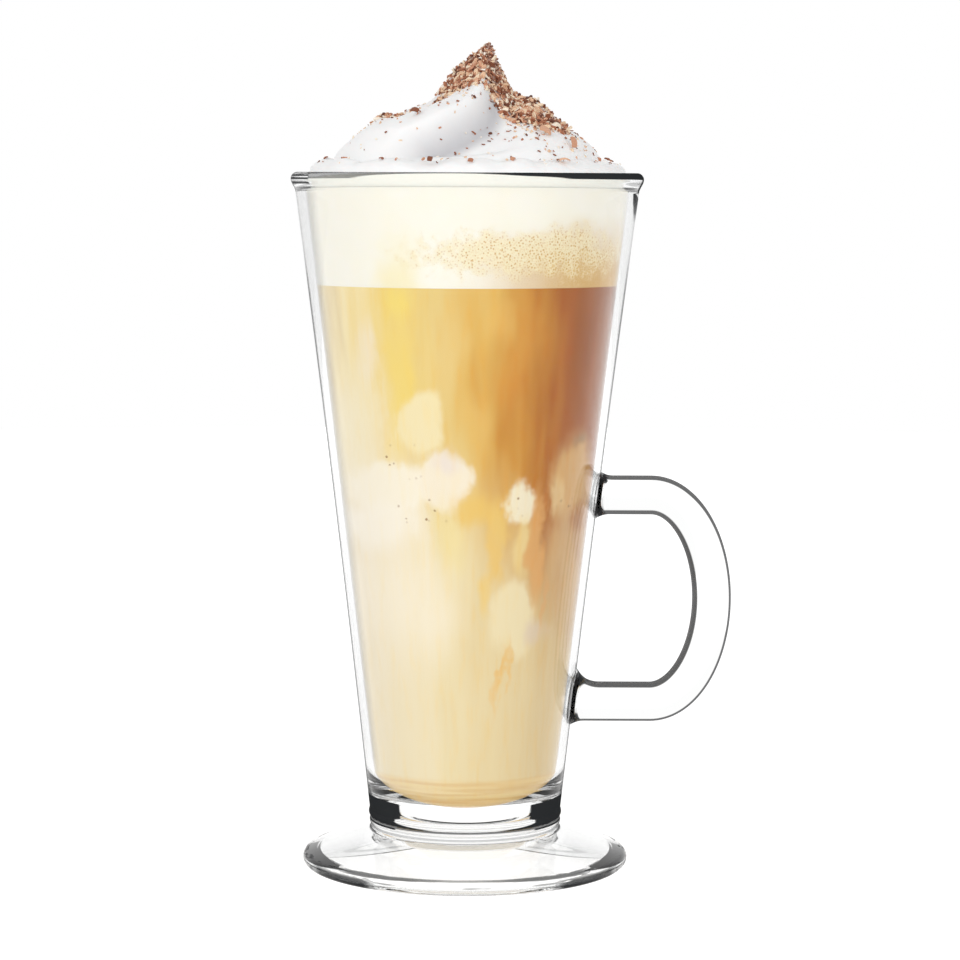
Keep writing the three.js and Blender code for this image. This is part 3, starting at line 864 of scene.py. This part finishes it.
def handle_mesh():
    shares = [(i / ARM_STEPS) ** ARM_CROWDING for i in range(ARM_STEPS)]
    rings = [arm_ring(arm_top, 1, share) for share in shares]
    rings += [bend_ring(QUARTER_TURN - HALF_TURN * i / BEND_STEPS) for i in range(BEND_STEPS + 1)]
    rings += [arm_ring(arm_bottom, -1, share) for share in reversed(shares)]
    first, last = ([sum(p) / BAR_POINTS for p in zip(*ring)] for ring in (rings[0], rings[-1]))
    vertices = [first, *(point for ring in rings for point in ring), last]
    return vertices, skin_faces(len(rings), BAR_POINTS)


def apply_modifier(obj, modifier):
    depsgraph = bpy.context.evaluated_depsgraph_get()
    made = bpy.data.meshes.new_from_object(obj.evaluated_get(depsgraph), depsgraph=depsgraph)
    obj.modifiers.remove(modifier)
    obj.data = made


# Painted dark edges of the glass: facing at which they begin, softness and depth.
# A white studio gives clear glass none, so these are painted in place of the black cards seen
# reflected and refracted in it.
CONE_LINE = (0.82, 0.08, 0.6)
INNER_LEFT_LINE = (0.212, 0.05, 0.85)
INNER_RIGHT_LINE = (0.236, 0.03, 0.5)
STREAK_LINE = (0.735, 0.02, 0.95)
THICK_LINE = (0.295, 0.025, 1.0)
ABOVE_THICK_LINE = (0.72, 0.1, 0.75)
RIM_LINE = (0.17, 0.05, 1.0)
TIP_LINE = (0.84, 0.05, 0.95)
RIM_LEFT_LINE = (0.12, 0.1, 0.5)
RIM_MIDDLE_LINE = (0.42, 0.08, 0.7)
BEAD_LINE = (0.66, 0.2, 0.7)
FOOT_OUTLINE = (0.965, 0.03, 0.6)
FOOT_CONE_LINE = (0.975, 0.02, 0.4)
INNER_GRIP_LINE = (0.245, 0.1, 0.8)
INNER_ARM_LINE = (0.25, 0.1, 0.69)
OUTER_GRIP_LINE = (0.45, 0.1, 0.76)
UPPER_GRIP_LINE = (0.33, 0.08, 0.77)
PAD_LINE = (0.12, 0.08, 0.88)
THICK_LOW, THICK_HIGH, THICK_FADE = 9.9, 16.0, 20.5
STREAK_LOW, STREAK_HIGH = 140.5, 145.5
# Painted dark rings of the collar: height, half width and depth
RINGS = [(10.45, 0.26, 0.66), (8.8, 0.22, 0.28), (7.3, 0.34, 0.85)]
TIP_STRIPES = (150.06, 149.35, 148.5)  # heights of the dark stripes at the rim's left end
TIP_SHARE = 0.88
FOOT_STREAKS = [(2.5, 4.5), (18.0, 5.0)]  # middle and half width
STRIPE_HALF, STRIPE_DEPTH, STRIPE_GAP_LINE = 0.17, 0.85, (0.9, 0.05, 0.8)
ALWAYS = (-0.45, 0.6)  # begin and softness of an edge that is dark from every side
NEVER = 2.0  # a facing that no place has
INSIDE_DEPTH = 0.9  # a place this far within the outer wall is on the inner one
HANDLE_START, HANDLE_SPARE, PAD_ZONE = 0.35, 3, 1.3
FOOT_BAND = 2.6  # width of the foot's rounded edge
# Smooth steps of the edges, as start and width: in millimetres
CONE_FADE, FLANK_TOP = (124, 12), (1.9, 0.7)
INNER_START, INNER_END = (rise_top - 4, 9), (mouth_level - 3, 3)
# and in shares of the radius, to the side or to the back
RIM_LEFT, RIM_RIGHT = (0.1, 0.8), (-0.05, 0.4)
FLANK_START, FLANK_END = (0.5, 0.12), (0.87, 0.07)
MIDDLE_START, MIDDLE_END = (0.34, 0.14), (0.6, 0.1)
CREST_DROP, CREST_SIDE, CREST_END = (0.1, 0.4), (0, 0.4), (0.68, 0.1)
FOOT_BACK, FOOT_SIDE, NECK_BACK = (-0.38, 0.16), (0.4, 0.2), (0.15, 0.3)
CREST_HEIGHT, CREST_RISE = 2.91, 0.12
FLANK_DEPTH, MIDDLE_DEPTH, FULL_DEPTH = 0.84, 0.6, 0.3
MIDDLE_HEIGHT, MIDDLE_HALF = 1.85, 0.3


def weaker(line, share):
    return (line[0], line[1], line[2] * share)


def band(value, start, end):
    """1 between two smooth steps."""
    return step(value, *start) * (1 - step(value, *end))


# Painted dark lines of the handle: inner and outer lines of the bar, and over its pads
def handle_line(x, z, wall):
    if x < wall + PAD_ZONE:
        return PAD_LINE
    height = (z - loop_centre) / loop_half
    swing = math.hypot(max(0, x - HANDLE_BEND) / (grip_reach - HANDLE_BEND), height)
    upper = min(1, max(0, height))
    inner = between(INNER_GRIP_LINE, INNER_ARM_LINE, upper ** 4)
    outer = between(OUTER_GRIP_LINE, UPPER_GRIP_LINE, upper ** 3)
    return between(outer, inner, smooth((1 - swing) * loop_half / 3 + 0.5))


def rim_line(side):
    """Painted dark line on the rim: grey on the left, thin in the middle and black on the right:
    side is -1 to 1.
    """
    if side < 0:
        return between(RIM_MIDDLE_LINE, RIM_LEFT_LINE, step(-side, *RIM_LEFT))
    return between(RIM_MIDDLE_LINE, RIM_LINE, step(side, *RIM_RIGHT))


def striped(z):
    """Rim's left end: painted dark stripes on clear glass."""
    near = any(abs(z - height) < STRIPE_HALF for height in TIP_STRIPES)
    return (*ALWAYS, STRIPE_DEPTH) if near else STRIPE_GAP_LINE


def inner_line(x, z):
    """Soft shade along the inside of the wall, wider on the left."""
    line = between(INNER_LEFT_LINE, INNER_RIGHT_LINE, smooth(x / 8 + 0.5))
    return weaker(line, band(z, INNER_START, INNER_END))


def foot_line(x, y, z):
    """Edge of the foot in painted dark lines: a thin crest, dark lower flanks and a bare outline
    at the ends.
    """
    side = abs(x) / FOOT_RADIUS
    flank = FLANK_DEPTH * band(side, FLANK_START, FLANK_END) * (1 - step(z, *FLANK_TOP))
    crest = 0
    if z < FOOT_EDGE - CREST_RISE / 2:
        crest = step(z, CREST_HEIGHT - 0.3 * step(side, *CREST_DROP), CREST_RISE)
        crest *= (1 - step(side, *CREST_END)) * (0.5 + 0.25 * step(side, *CREST_SIDE))
    middle = MIDDLE_DEPTH * band(side, MIDDLE_START, MIDDLE_END)
    for centre, half in FOOT_STREAKS:
        middle = max(middle, MIDDLE_DEPTH * smooth((1 - abs(x - centre) / half) * 2))
    middle *= max(0, 1 - abs(z - MIDDLE_HEIGHT) / MIDDLE_HALF)
    depth = max(flank, crest, middle)
    share = min(1, depth / FULL_DEPTH) * (1 - step(y / FOOT_RADIUS, *FOOT_BACK))
    return between(FOOT_OUTLINE, (*ALWAYS, depth), share)


def neck_line(y, z):
    """Painted dark lines: rings of the collar, the thick floor and the start of the cone."""
    for height, half, depth in RINGS:
        if abs(z - height) < half:
            line = (*ALWAYS, depth)
            break
    else:
        line = between(ABOVE_THICK_LINE, CONE_LINE, (z - THICK_HIGH) / (THICK_FADE - THICK_HIGH))
        if z < THICK_HIGH:
            line = BEAD_LINE if z < THICK_LOW else THICK_LINE
    return weaker(line, 1 - 0.65 * step(y / NECK_RADIUS, *NECK_BACK))


def streak_share(z):
    return min(1, (z - STREAK_LOW) / (STREAK_HIGH - STREAK_LOW))


def edge_line(x, y, z):
    """Painted dark edge at a place: facing at which it begins, softness and depth."""
    r = math.hypot(x, y)
    outer = outer_radius(z)
    inside = r < outer - INSIDE_DEPTH
    beside = HANDLE_BOTTOM - HANDLE_SPARE < z < HANDLE_TOP + HANDLE_SPARE
    if beside and x > outer + HANDLE_START and abs(y) < BAR_WIDTH:
        return handle_line(x, z, outer)
    if x < -TIP_SHARE * RIM_RADIUS and z > cone_top and not inside:
        return striped(z)
    if z > mouth_level:
        return rim_line(x / RIM_RADIUS)
    if z <= FOOT_HEIGHT + 0.1:
        return FOOT_CONE_LINE if r < FOOT_RADIUS - FOOT_BAND else foot_line(x, y, z)
    if inside:
        return inner_line(x, z)
    if z < THICK_FADE:
        return neck_line(y, z)
    if STREAK_LOW < z < cone_top and x > 0:
        return between(CONE_LINE, STREAK_LINE, streak_share(z))
    if z > cone_top:
        return TIP_LINE if x > TIP_SHARE * RIM_RADIUS else BEAD_LINE
    return weaker(CONE_LINE, 1 - 0.75 * step(z, *CONE_FADE))


def edge_more(x, y, z):
    """Unevenness of the painted dark edge, where it clears again and how solid it is."""
    r = math.hypot(x, y)
    outer = outer_radius(z)
    if z < FOOT_EDGE + 0.05 and r > FOOT_RADIUS - FOOT_BAND:
        return (0.15 + 0.5 * step(abs(x) / FOOT_RADIUS, *FOOT_SIDE), NEVER, 0.9)
    if z > FOOT_HEIGHT and x < outer + HANDLE_START and r < outer - INSIDE_DEPTH:
        return (0, NEVER, 0.2)
    if STREAK_LOW < z < cone_top and x > 0:
        return (0, NEVER - 1.22 * streak_share(z), 1)
    return (0.09, NEVER, 0.95) if THICK_HIGH < z < THICK_FADE else (0, NEVER, 1)


def make_glass():
    cup = new_object("latte_glass", *revolve(glass_outline(), GLASS_SEGMENTS))
    face_outward(cup)
    grip = new_object("grip", *handle_mesh())
    face_outward(grip)
    union = cup.modifiers.new("join", "BOOLEAN")
    union.operation = "UNION"
    union.solver = "EXACT"
    union.object = grip
    apply_modifier(cup, union)
    bpy.data.objects.remove(grip)
    places = [(vertex.co - AXIS) / MM for vertex in cup.data.vertices]
    for name, line_at in ((EDGE, edge_line), (EDGE_MORE, edge_more)):
        store(cup, name, "FLOAT_VECTOR", [value for place in places for value in line_at(*place)])
    cup.data.polygons.foreach_set("use_smooth", [True] * len(cup.data.polygons))
    cup.data.set_sharp_from_angle(angle=GLASS_CREASE)
    nodes = "glass_bowl", "glass_foot", "glass_handle"
    return finish_piece(cup, glass_material(), "clear_glass", *nodes)


# Drink: turned layers that fit the inside of the cup
DRINK_SEGMENTS = 192
DRINK_CREASE = math.radians(50)
MILK_STEPS, COFFEE_STEPS, FOAM_STEPS = 24, 20, 14


def make_drink():
    milk_wall = floor_curve(CLEARANCE, INNER_STEPS)
    milk_wall += wall_points(rise_top, MILK_TOP, CLEARANCE, MILK_STEPS)[1:]
    coffee_wall = wall_points(MILK_TOP, COFFEE_TOP, CLEARANCE, COFFEE_STEPS)
    foam_wall = wall_points(COFFEE_TOP, FOAM_TOP, CLEARANCE, FOAM_STEPS)
    milk, coffee = drink_material("milk_clouds"), drink_material("coffee_clouds")
    for name, bottom, wall, top, node, slot, material in (
        ("milk_layer", DRINK_BASE, milk_wall, MILK_TOP, "milk", "milk", milk),
        ("coffee_layer", MILK_TOP, coffee_wall, COFFEE_TOP, "coffee", "coffee", coffee),
        ("foam_layer", COFFEE_TOP, foam_wall, FOAM_TOP, "milk_foam", "foam", foam_material()),
    ):
        obj = new_object(name, *revolve([(0, bottom), *wall, (0, top)], DRINK_SEGMENTS))
        face_outward(obj)
        obj.data.set_sharp_from_angle(angle=DRINK_CREASE)
        finish_piece(obj, material, slot, node)


# Cream
bed_rim_radius = mouth_radius - BED_RIM_GAP
bed_flat_radius = bed_rim_radius - BED_ROUNDING
bed_wall_top = min(mouth_level, BED_TOP - BED_HEIGHT / 2)
crown_foot = bed_wall_top + (BED_TOP - bed_wall_top) / 3
peak_offset, peak_spread = SWIRL_RADIUS * 0.158, SWIRL_RADIUS * 0.3
shoulder_offset, shoulder_spread = SWIRL_RADIUS * 0.5, SWIRL_RADIUS * 0.14
FOLD_START = math.radians(-119)
FOLD_TWIST = math.radians(92)
FOLD_TWIST_POWER = 0.85
FOLD_RIM_SHARE = 0.125
FOLD_TIP_SHARE = 0.45
FOLD_COUNT = 3
FOLD_DROP_SHARE = 0.16
FOLD_BACK_SHARE = 0.35
FOLD_RIGHT_SHARE = 0.25
STEEP_SIDE_SHARE = 0.44
MOUND_POWER = 2.93
PEAK_POWER = 1.6
# Where the folds weaken: start and width of a step over shares of the radius
FOLD_BACK_ZONE = (-0.25, 0.4)
FOLD_RIGHT_ZONE = (0.2, 0.35)
HOLLOW_SPREAD_SHARE = 0.13  # how far the shade beside a steep side reaches

# Small swells and dips of the swirl: middle, half widths and height
BUMPS = [
    (-19.0, -5.0, 3.4, 8.0, 1.9),
    (-8.5, 1.0, 3.0, 7.0, -1.1),
    (-2.0, 0.0, 2.6, 4.0, 1.5),
    (4.6, 0.2, 0.9, 0.9, 0.9),
]

# Fine ruffles as size and reach, and where they and the swirl's edge end
SWIRL_RUFFLES = ((7.0, 0.35), (3.0, 0.12))
BED_RUFFLES = ((5.5, 0.9), (2.2, 0.35))
RUFFLE_SLICE = 3.7
RUFFLE_RIM_SHARE = 0.25
SINK_FROM, SINK_SHARE = 0.93, 0.07
SWIRL_RINGS, SWIRL_SEGMENTS = 110, 240

# Bed: its mesh, and how far its ruffled edge settles and draws in
BED_SEGMENTS, BED_CROWN_STEPS = 240, 16
BED_FLAT_RINGS = (0.7, 1.4, 2.1, 2.8, 3.5)
BED_SHAPED_WIDTH = 3
BED_SETTLING, BED_WAVE = 0.3, 0.012


def fold_phase(angle, out):
    """How far round a fold a place lies: 0 to 1, with the steep side at its end."""
    edge = FOLD_START + FOLD_TWIST * (1 - out) ** FOLD_TWIST_POWER
    turns = (angle - edge) / FULL_TURN * FOLD_COUNT
    return turns - math.floor(turns)


def fold_height(angle, out):
    along = fold_phase(angle, out)
    return smooth(min(along / (1 - FOLD_DROP_SHARE), (1 - along) / FOLD_DROP_SHARE))


def fold_strength(x, y, out):
    """Folds are deepest in front, and fade at the edge, the tip, the back and the right."""
    strength = min(1, (1 - out) / FOLD_RIM_SHARE) * min(1, out / FOLD_TIP_SHARE)
    strength *= 1 - (1 - FOLD_BACK_SHARE) * step(y / SWIRL_RADIUS, *FOLD_BACK_ZONE)
    return strength * (1 - (1 - FOLD_RIGHT_SHARE) * step(x / SWIRL_RADIUS, *FOLD_RIGHT_ZONE))


def fold_shade(x, y):
    """Share of painted shade: 1 in the hollow beside a fold's steep side, fading up that side and
    away from it.
    """
    out = min(1, math.hypot(x, y) / SWIRL_RADIUS)
    along = fold_phase(math.atan2(y, x), out)
    if along > 1 - FOLD_DROP_SHARE:
        shade = 1 - smooth((1 - along) / FOLD_DROP_SHARE)
    else:
        shade = 1 - smooth(along / HOLLOW_SPREAD_SHARE)
    return shade * fold_strength(x, y, out)


def swirl_height(x, y):
    out = min(1, math.hypot(x, y) / SWIRL_RADIUS)
    mound = MOUND_HEIGHT * (1 - out ** MOUND_POWER)
    offset = x - peak_offset
    spread = peak_spread * (STEEP_SIDE_SHARE if offset > 0 else 1)
    away = math.hypot(offset / spread, y / peak_spread)
    peak = PEAK_HEIGHT * math.exp(-(away ** PEAK_POWER))
    beside = math.hypot(x - shoulder_offset, y) / shoulder_spread
    shoulder = SHOULDER_HEIGHT * math.exp(-(beside ** 2))
    fold = FOLD_DEPTH * fold_strength(x, y, out) * (fold_height(math.atan2(y, x), out) - 0.5)
    bumps = 0
    for centre_x, centre_y, wide, deep, height in BUMPS:
        bumps += height * math.exp(-(((x - centre_x) / wide) ** 2) - ((y - centre_y) / deep) ** 2)
    return max(0, mound + peak + shoulder + fold + bumps)


def ruffle(x, y, waves):
    """A smooth random rise and fall of a surface."""
    return sum(
        reach * noise.noise(Vector((x / size, y / size, RUFFLE_SLICE))) for size, reach in waves
    )


def cream_top(x, y):
    out = math.hypot(x, y) / SWIRL_RADIUS
    ripple = ruffle(x, y, SWIRL_RUFFLES) * min(1, max(0, 1 - out) / RUFFLE_RIM_SHARE)
    sunk = SWIRL_SINK * min(1, max(0, (out - SINK_FROM) / SINK_SHARE)) ** 2
    return BED_TOP + (swirl_height(x, y) + ripple) - sunk


def bed_top(x, y):
    r = math.hypot(x, y)
    share = max(0, (r - bed_flat_radius) / (bed_rim_radius - bed_flat_radius))
    return crown_foot + (BED_TOP - crown_foot) * math.sqrt(max(0, 1 - share * share))


def topping(x, y):
    return cream_top(x, y) if math.hypot(x, y) < SWIRL_RADIUS else bed_top(x, y)


def make_swirl():
    underside = BED_TOP - 2 * SWIRL_SINK
    vertices = [(0, 0, underside), *ring_at(SWIRL_RADIUS, underside, SWIRL_SEGMENTS)]
    for k in range(SWIRL_RINGS):
        ring = ring_at(SWIRL_RADIUS * (1 - k / SWIRL_RINGS), 0, SWIRL_SEGMENTS)
        vertices += [(x, y, cream_top(x, y)) for x, y, _ in ring]
    vertices.append((0, 0, cream_top(0, 0)))
    obj = new_object("cream_swirl_soft", vertices, skin_faces(SWIRL_RINGS + 1, SWIRL_SEGMENTS))
    face_outward(obj)
    store(obj, PAINTED_FOLD_SHADE, "FLOAT", [fold_shade(x, y) for x, y, _ in vertices])
    store(obj, DUST, "FLOAT", [dusting(x, y) for x, y, _ in vertices])
    return finish_piece(obj, cream_material(), "cream", "cream_swirl")


def bed_shape(x, y, z):
    """Ruffles and draws in the edge of the bed, and leaves the rest."""
    if z <= bed_wall_top + 0.2 or math.hypot(x, y) <= bed_flat_radius - BED_SHAPED_WIDTH:
        return x, y, z
    z += min(1, (z - bed_wall_top) / 2) * (ruffle(x, y, BED_RUFFLES) - BED_SETTLING)
    inwards = 1 - BED_WAVE * abs(noise.noise(Vector((x / 4, y / 4, z / 2))))
    return x * inwards, y * inwards, z


def make_bed():
    crown = []
    for i in range(BED_CROWN_STEPS + 1):
        angle = QUARTER_TURN * i / BED_CROWN_STEPS
        r = bed_flat_radius + (bed_rim_radius - bed_flat_radius) * math.cos(angle)
        crown.append((r, crown_foot + (BED_TOP - crown_foot) * math.sin(angle)))
    wall = wall_points(FOAM_TOP, bed_wall_top, CLEARANCE, 2)
    flat = [(bed_flat_radius - inset, BED_TOP) for inset in BED_FLAT_RINGS]
    outline = [(0, FOAM_TOP), *wall, *crown, *flat, (0, BED_TOP)]
    vertices, faces = revolve(outline, BED_SEGMENTS)
    obj = new_object("cream_base_soft", [bed_shape(*vertex) for vertex in vertices], faces)
    face_outward(obj)
    return finish_piece(obj, cream_material(), "cream", "cream_bed")


# Chocolate: heaps, as middle in plan and radius in shares of the swirl's radius
PEAK_SHARES = (0.12, -0.01, 0.35)
FLANK_SHARES = (0.47, -0.24, 0.28)
RIDGE_SHARES = (-0.54, -0.16, 0.16)
NEAR_SHARES = (-0.04, -0.17, 0.17)
DUSTED = (PEAK_SHARES, FLANK_SHARES, RIDGE_SHARES)
# What a heap holds: number of flakes, their mean length, how far they pile up,
# how far they tip, and the power that spreads them from its middle
CROWN_HEAPS = [
    (PEAK_SHARES, 1950, 1.15, 0.5, 0.8, 0.55),
    (NEAR_SHARES, 170, 1.05, 0.35, 0.6, 0.5),
    (FLANK_SHARES, 480, 1.3, 0.6, 0.8, 0.75),
]
RIDGE_HEAPS = [(RIDGE_SHARES, 180, 1.15, 0.9, 0.6, 0.5)]
TOP_LIMIT = crown_high.z - 0.25
SEED = 11
DUST_EDGE = (0.5, 0.35)
FLAKE_CELLS, FLAKE_TAPER = 3, 0.45
# Limits of a flake's width and thickness, as shares of its length, and of its curl
HEAP_PLATE = ((0.3, 0.65), (0.14, 0.3), (-0.4, 0.5))
CRUMB_PLATE = ((0.35, 0.8), (0.15, 0.3), (-0.3, 0.5))
HEAP_LIFT = 0.12
CRUMB_COUNT, CRUMB_LENGTH, CRUMB_TILT, CRUMB_LIFT = 900, 0.55, 0.35, 0.1
SHAVINGS, SHAVING_TILT, SHAVING_SINK = 16, 0.2, 0.1
SHAVING_LENGTHS, SHAVING_WIDTHS, SHAVING_TONES = (0.8, 1.15), (0.5, 0.85), (0.05, 0.6)
SHAVING_THICKNESS, SHAVING_CURL, SHAVING_TAPER = 0.2, 0.5, 0.15


def dusting(x, y):
    """1 under a heap of chocolate, fading out at its edge."""
    dust = 0
    for share_x, share_y, share_r in DUSTED:
        away = math.hypot(x / SWIRL_RADIUS - share_x, y / SWIRL_RADIUS - share_y) / share_r
        dust = max(dust, 1 - step(away, *DUST_EDGE))
    return dust


def flake(data, place, axes, size, curl, tone, taper=FLAKE_TAPER):
    """A thin bent plate, narrower at its ends, with its own shade."""
    vertices, faces, tones = data
    along, across, up = axes
    length, width, thick = size
    first = len(vertices)
    for side in (1, -1):
        for i in range(FLAKE_CELLS + 1):
            u = i / FLAKE_CELLS - 0.5
            lift = curl * length * (0.25 - u * u)
            narrow = 1 - taper * (2 * u) ** 2
            for v in (-0.5, 0.5):
                point = place + along * (u * length) + across * (v * width * narrow)
                vertices.append(tuple(point + up * (lift + side * thick / 2)))
                tones.append(tone)
    row = 2 * (FLAKE_CELLS + 1)
    for a in range(first, first + 2 * FLAKE_CELLS, 2):
        b = a + row
        faces.append((a, a + 2, a + 3, a + 1))
        faces.append((b, b + 1, b + 3, b + 2))
        faces.append((a, b, b + 2, a + 2))
        faces.append((a + 1, a + 3, b + 3, b + 1))
    end = first + 2 * FLAKE_CELLS
    faces.append((first, first + 1, first + 1 + row, first + row))
    faces.append((end, end + row, end + 1 + row, end + 1))


def slope_up(x, y, reach=0.5):
    slope_x = (topping(x + reach, y) - topping(x - reach, y)) / (2 * reach)
    slope_y = (topping(x, y + reach) - topping(x, y - reach)) / (2 * reach)
    return Vector((-slope_x, -slope_y, 1)).normalized()


def random_axes(draw, up, tilt):
    """Three axes of a plate that lies on a slope, turned about and tipped."""
    lean = Vector([draw.gauss(0, tilt) for _ in range(3)])
    normal = (up + lean).normalized()
    side = Vector([draw.uniform(-1, 1) for _ in range(3)])
    along = (side - normal * side.dot(normal)).normalized()
    return along, normal.cross(along), normal


def lay(draw, data, place, size, tilt, plate):
    """A flake of random width, thickness, curl and shade on the slope at its place."""
    x, y, _ = place
    axes = random_axes(draw, slope_up(x, y), tilt)
    width, thick, curl = [draw.uniform(*limits) for limits in plate]
    flake(data, Vector(place), axes, (size, size * width, size * thick), curl, draw.random())


def heap(draw, data, shares, count, length, pile, tilt, power):
    """Flakes in a round heap, apart from those that would rise over the solids' top."""
    centre_x, centre_y, radius = (SWIRL_RADIUS * share for share in shares)
    for _ in range(count):
        angle = draw.uniform(0, FULL_TURN)
        out = radius * draw.random() ** power
        x = centre_x + out * math.cos(angle)
        y = centre_y + out * math.sin(angle)
        size = length * (0.5 + 1.2 * draw.random() ** 2.5)
        size *= min(1, 0.5 + math.hypot(x - peak_offset, y) / 10)
        z = topping(x, y) + pile * draw.random() * (1 - (out / radius) ** 2) + HEAP_LIFT
        if z <= TOP_LIMIT - size * 0.5:
            lay(draw, data, (x, y, z), size, tilt, HEAP_PLATE)


def scatter(draw, data):
    """Crumbs all over the cream, as thick as their chance at a place says."""
    made = 0
    while made < CRUMB_COUNT:
        angle = draw.uniform(0, FULL_TURN)
        out = (bed_rim_radius - 1) * math.sqrt(draw.random())
        x, y = out * math.cos(angle), out * math.sin(angle)
        if draw.random() <= crumb_chance(x, y):
            made += 1
            size = CRUMB_LENGTH * draw.uniform(0.5, 1.6)
            place = (x, y, topping(x, y) + CRUMB_LIFT)
            lay(draw, data, place, size, CRUMB_TILT, CRUMB_PLATE)


def crumb_chance(x, y):
    """Thick near the heaps, thin on the bare left lobe and the bed."""
    chance = 0.06
    for share_x, share_y, share_r in DUSTED:
        away = math.hypot(x - share_x * SWIRL_RADIUS, y - share_y * SWIRL_RADIUS)
        chance += 0.9 * math.exp(-((away / (share_r * SWIRL_RADIUS * 1.5)) ** 2))
    return chance + 0.5 * math.exp(-(((x + 9) / 6) ** 2)) * math.exp(-((y / 3) ** 2))


def shaving(draw, node, data):
    """A single shaving where its solid lies."""
    low, high = millimetres(node)
    middle = (low + high) / 2
    size = max(high.x - low.x, high.y - low.y) * draw.uniform(*SHAVING_LENGTHS)
    size *= 0.5 if middle.z < BED_TOP + 1 else 0.95
    axes = random_axes(draw, slope_up(middle.x, middle.y), SHAVING_TILT)
    plate = (size, size * draw.uniform(*SHAVING_WIDTHS), size * SHAVING_THICKNESS)
    place = Vector((middle.x, middle.y, middle.z - SHAVING_SINK))
    flake(data, place, axes, plate, SHAVING_CURL, draw.uniform(*SHAVING_TONES), SHAVING_TAPER)


def chocolate_piece(name, material, data, *nodes):
    vertices, faces, tones = data
    obj = new_object(name, vertices, faces, smooth=False)
    store(obj, TONE, "FLOAT", tones)
    return finish_piece(obj, material, "chocolate", *nodes)


def make_chocolate():
    draw = random.Random(SEED)
    material = chocolate_material()
    for name, node, heaps in (
        ("chocolate_peak_heap", "chocolate_crown", CROWN_HEAPS),
        ("chocolate_ridge_heap", "chocolate_ridge", RIDGE_HEAPS),
    ):
        data = ([], [], [])
        for row in heaps:
            heap(draw, data, *row)
        chocolate_piece(name, material, data, node)
    crumbs = ([], [], [])
    scatter(draw, crumbs)
    chocolate_piece("chocolate_crumbs", material, crumbs)
    for number in range(1, SHAVINGS + 1):
        data = ([], [], [])
        shaving(draw, f"shaving_{number}", data)
        chocolate_piece(f"chocolate_curl_{number}", material, data, f"shaving_{number}")


# Camera, where the photographer stood
CAMERA_DISTANCE = 680
CAMERA_HEIGHT = 150
CAMERA_PITCH = math.radians(5.525)
CAMERA_YAW = math.radians(0.252)
CAMERA_ROLL = math.radians(0.243)
CAMERA_LENS = 117.8
CAMERA_SENSOR = 36
CAMERA_CLIP = (0.01, 50)


def make_camera():
    data = bpy.data.cameras.new("camera")
    data.sensor_width = CAMERA_SENSOR
    data.lens = CAMERA_LENS
    data.clip_start, data.clip_end = CAMERA_CLIP
    camera = bpy.data.objects.new("camera", data)
    bpy.context.scene.collection.objects.link(camera)
    aim = Matrix.Rotation(-CAMERA_YAW, 4, "Z")
    aim = aim @ Matrix.Rotation(QUARTER_TURN - CAMERA_PITCH, 4, "X")
    aim = aim @ Matrix.Rotation(CAMERA_ROLL, 4, "Z")
    stand = AXIS + Vector((0, -CAMERA_DISTANCE, CAMERA_HEIGHT)) * MM
    camera.matrix_world = Matrix.Translation(stand) @ aim
    bpy.context.scene.camera = camera


# Studio: white wherever it is looked at, and a soft light elsewhere
WHITE = (1, 1, 1, 1)
WORLD_LIGHT = 0.65
FLOOR_RADIUS = 1.2
FLOOR_SEGMENTS = 96
FLOOR_DROP = -0.0002
FLOOR_GREY = (0.32, 0.32, 0.32, 1)
FLOOR_GLOW = 0.86  # as the camera sees it near the object
FAR_GLOW = 0.98
GLOW_DISTANCES = (100.0, 600.0)  # from the axis, in millimetres
FLOOR_BOUNCE = 0.42  # light that the white floor sends up
LAMPS = [
    ("key", (-0.8, -1.05, 0.65), 0.7, 5.9),
    ("fill", (0.75, -1.15, 0.3), 0.9, 4.7),
    ("back", (0.1, 1.3, 0.5), 0.9, 4.5),
]
LAMP_TARGET = Vector((0, 0, 0.09))


def make_world():
    world = bpy.data.worlds.new("studio")
    bpy.context.scene.world = world
    g = Graph(world, "ShaderNodeOutputWorld")
    strength = g.fade(g.looked_at(), 0.0, 1.0, WORLD_LIGHT, 1.0)
    g.finish(g.fill(g.add("ShaderNodeBackground"), Color=WHITE, Strength=strength))


def make_lamps():
    for name, place, size, power in LAMPS:
        data = bpy.data.lights.new(name, "AREA")
        data.shape = "DISK"
        data.size = size
        data.energy = power
        lamp = bpy.data.objects.new(name, data)
        bpy.context.scene.collection.objects.link(lamp)
        lamp.location = AXIS + Vector(place)
        lamp.rotation_mode = "QUATERNION"
        lamp.rotation_quaternion = (LAMP_TARGET - Vector(place)).to_track_quat("-Z", "Y")
        lamp.visible_camera = False
        lamp.visible_glossy = False
        lamp.visible_transmission = False


def make_floor():
    corners = ring_at(FLOOR_RADIUS, FLOOR_DROP, FLOOR_SEGMENTS)
    mesh = bpy.data.meshes.new("floor")
    mesh.from_pydata(corners, [], [tuple(range(FLOOR_SEGMENTS))])
    floor = bpy.data.objects.new("floor", mesh)
    bpy.context.scene.collection.objects.link(floor)
    g = new_graph("pale_floor")
    matt = g.fill(g.add("ShaderNodeBsdfDiffuse"), Color=FLOOR_GREY)
    shown = g.fade(g.length(g.place()), *GLOW_DISTANCES, FLOOR_GLOW, FAR_GLOW)
    strength = g.fade(g.looked_at(), 0.0, 1.0, FLOOR_BOUNCE, shown)
    glow = g.fill(g.add("ShaderNodeEmission"), Strength=strength)
    mesh.materials.append(g.finish(g.fill(g.add("ShaderNodeAddShader"), matt, glow)))


bpy.context.scene.view_settings.view_transform = "Standard"
make_camera()
make_world()
make_lamps()
make_floor()
make_glass()
make_drink()
make_bed()
make_swirl()
make_chocolate()
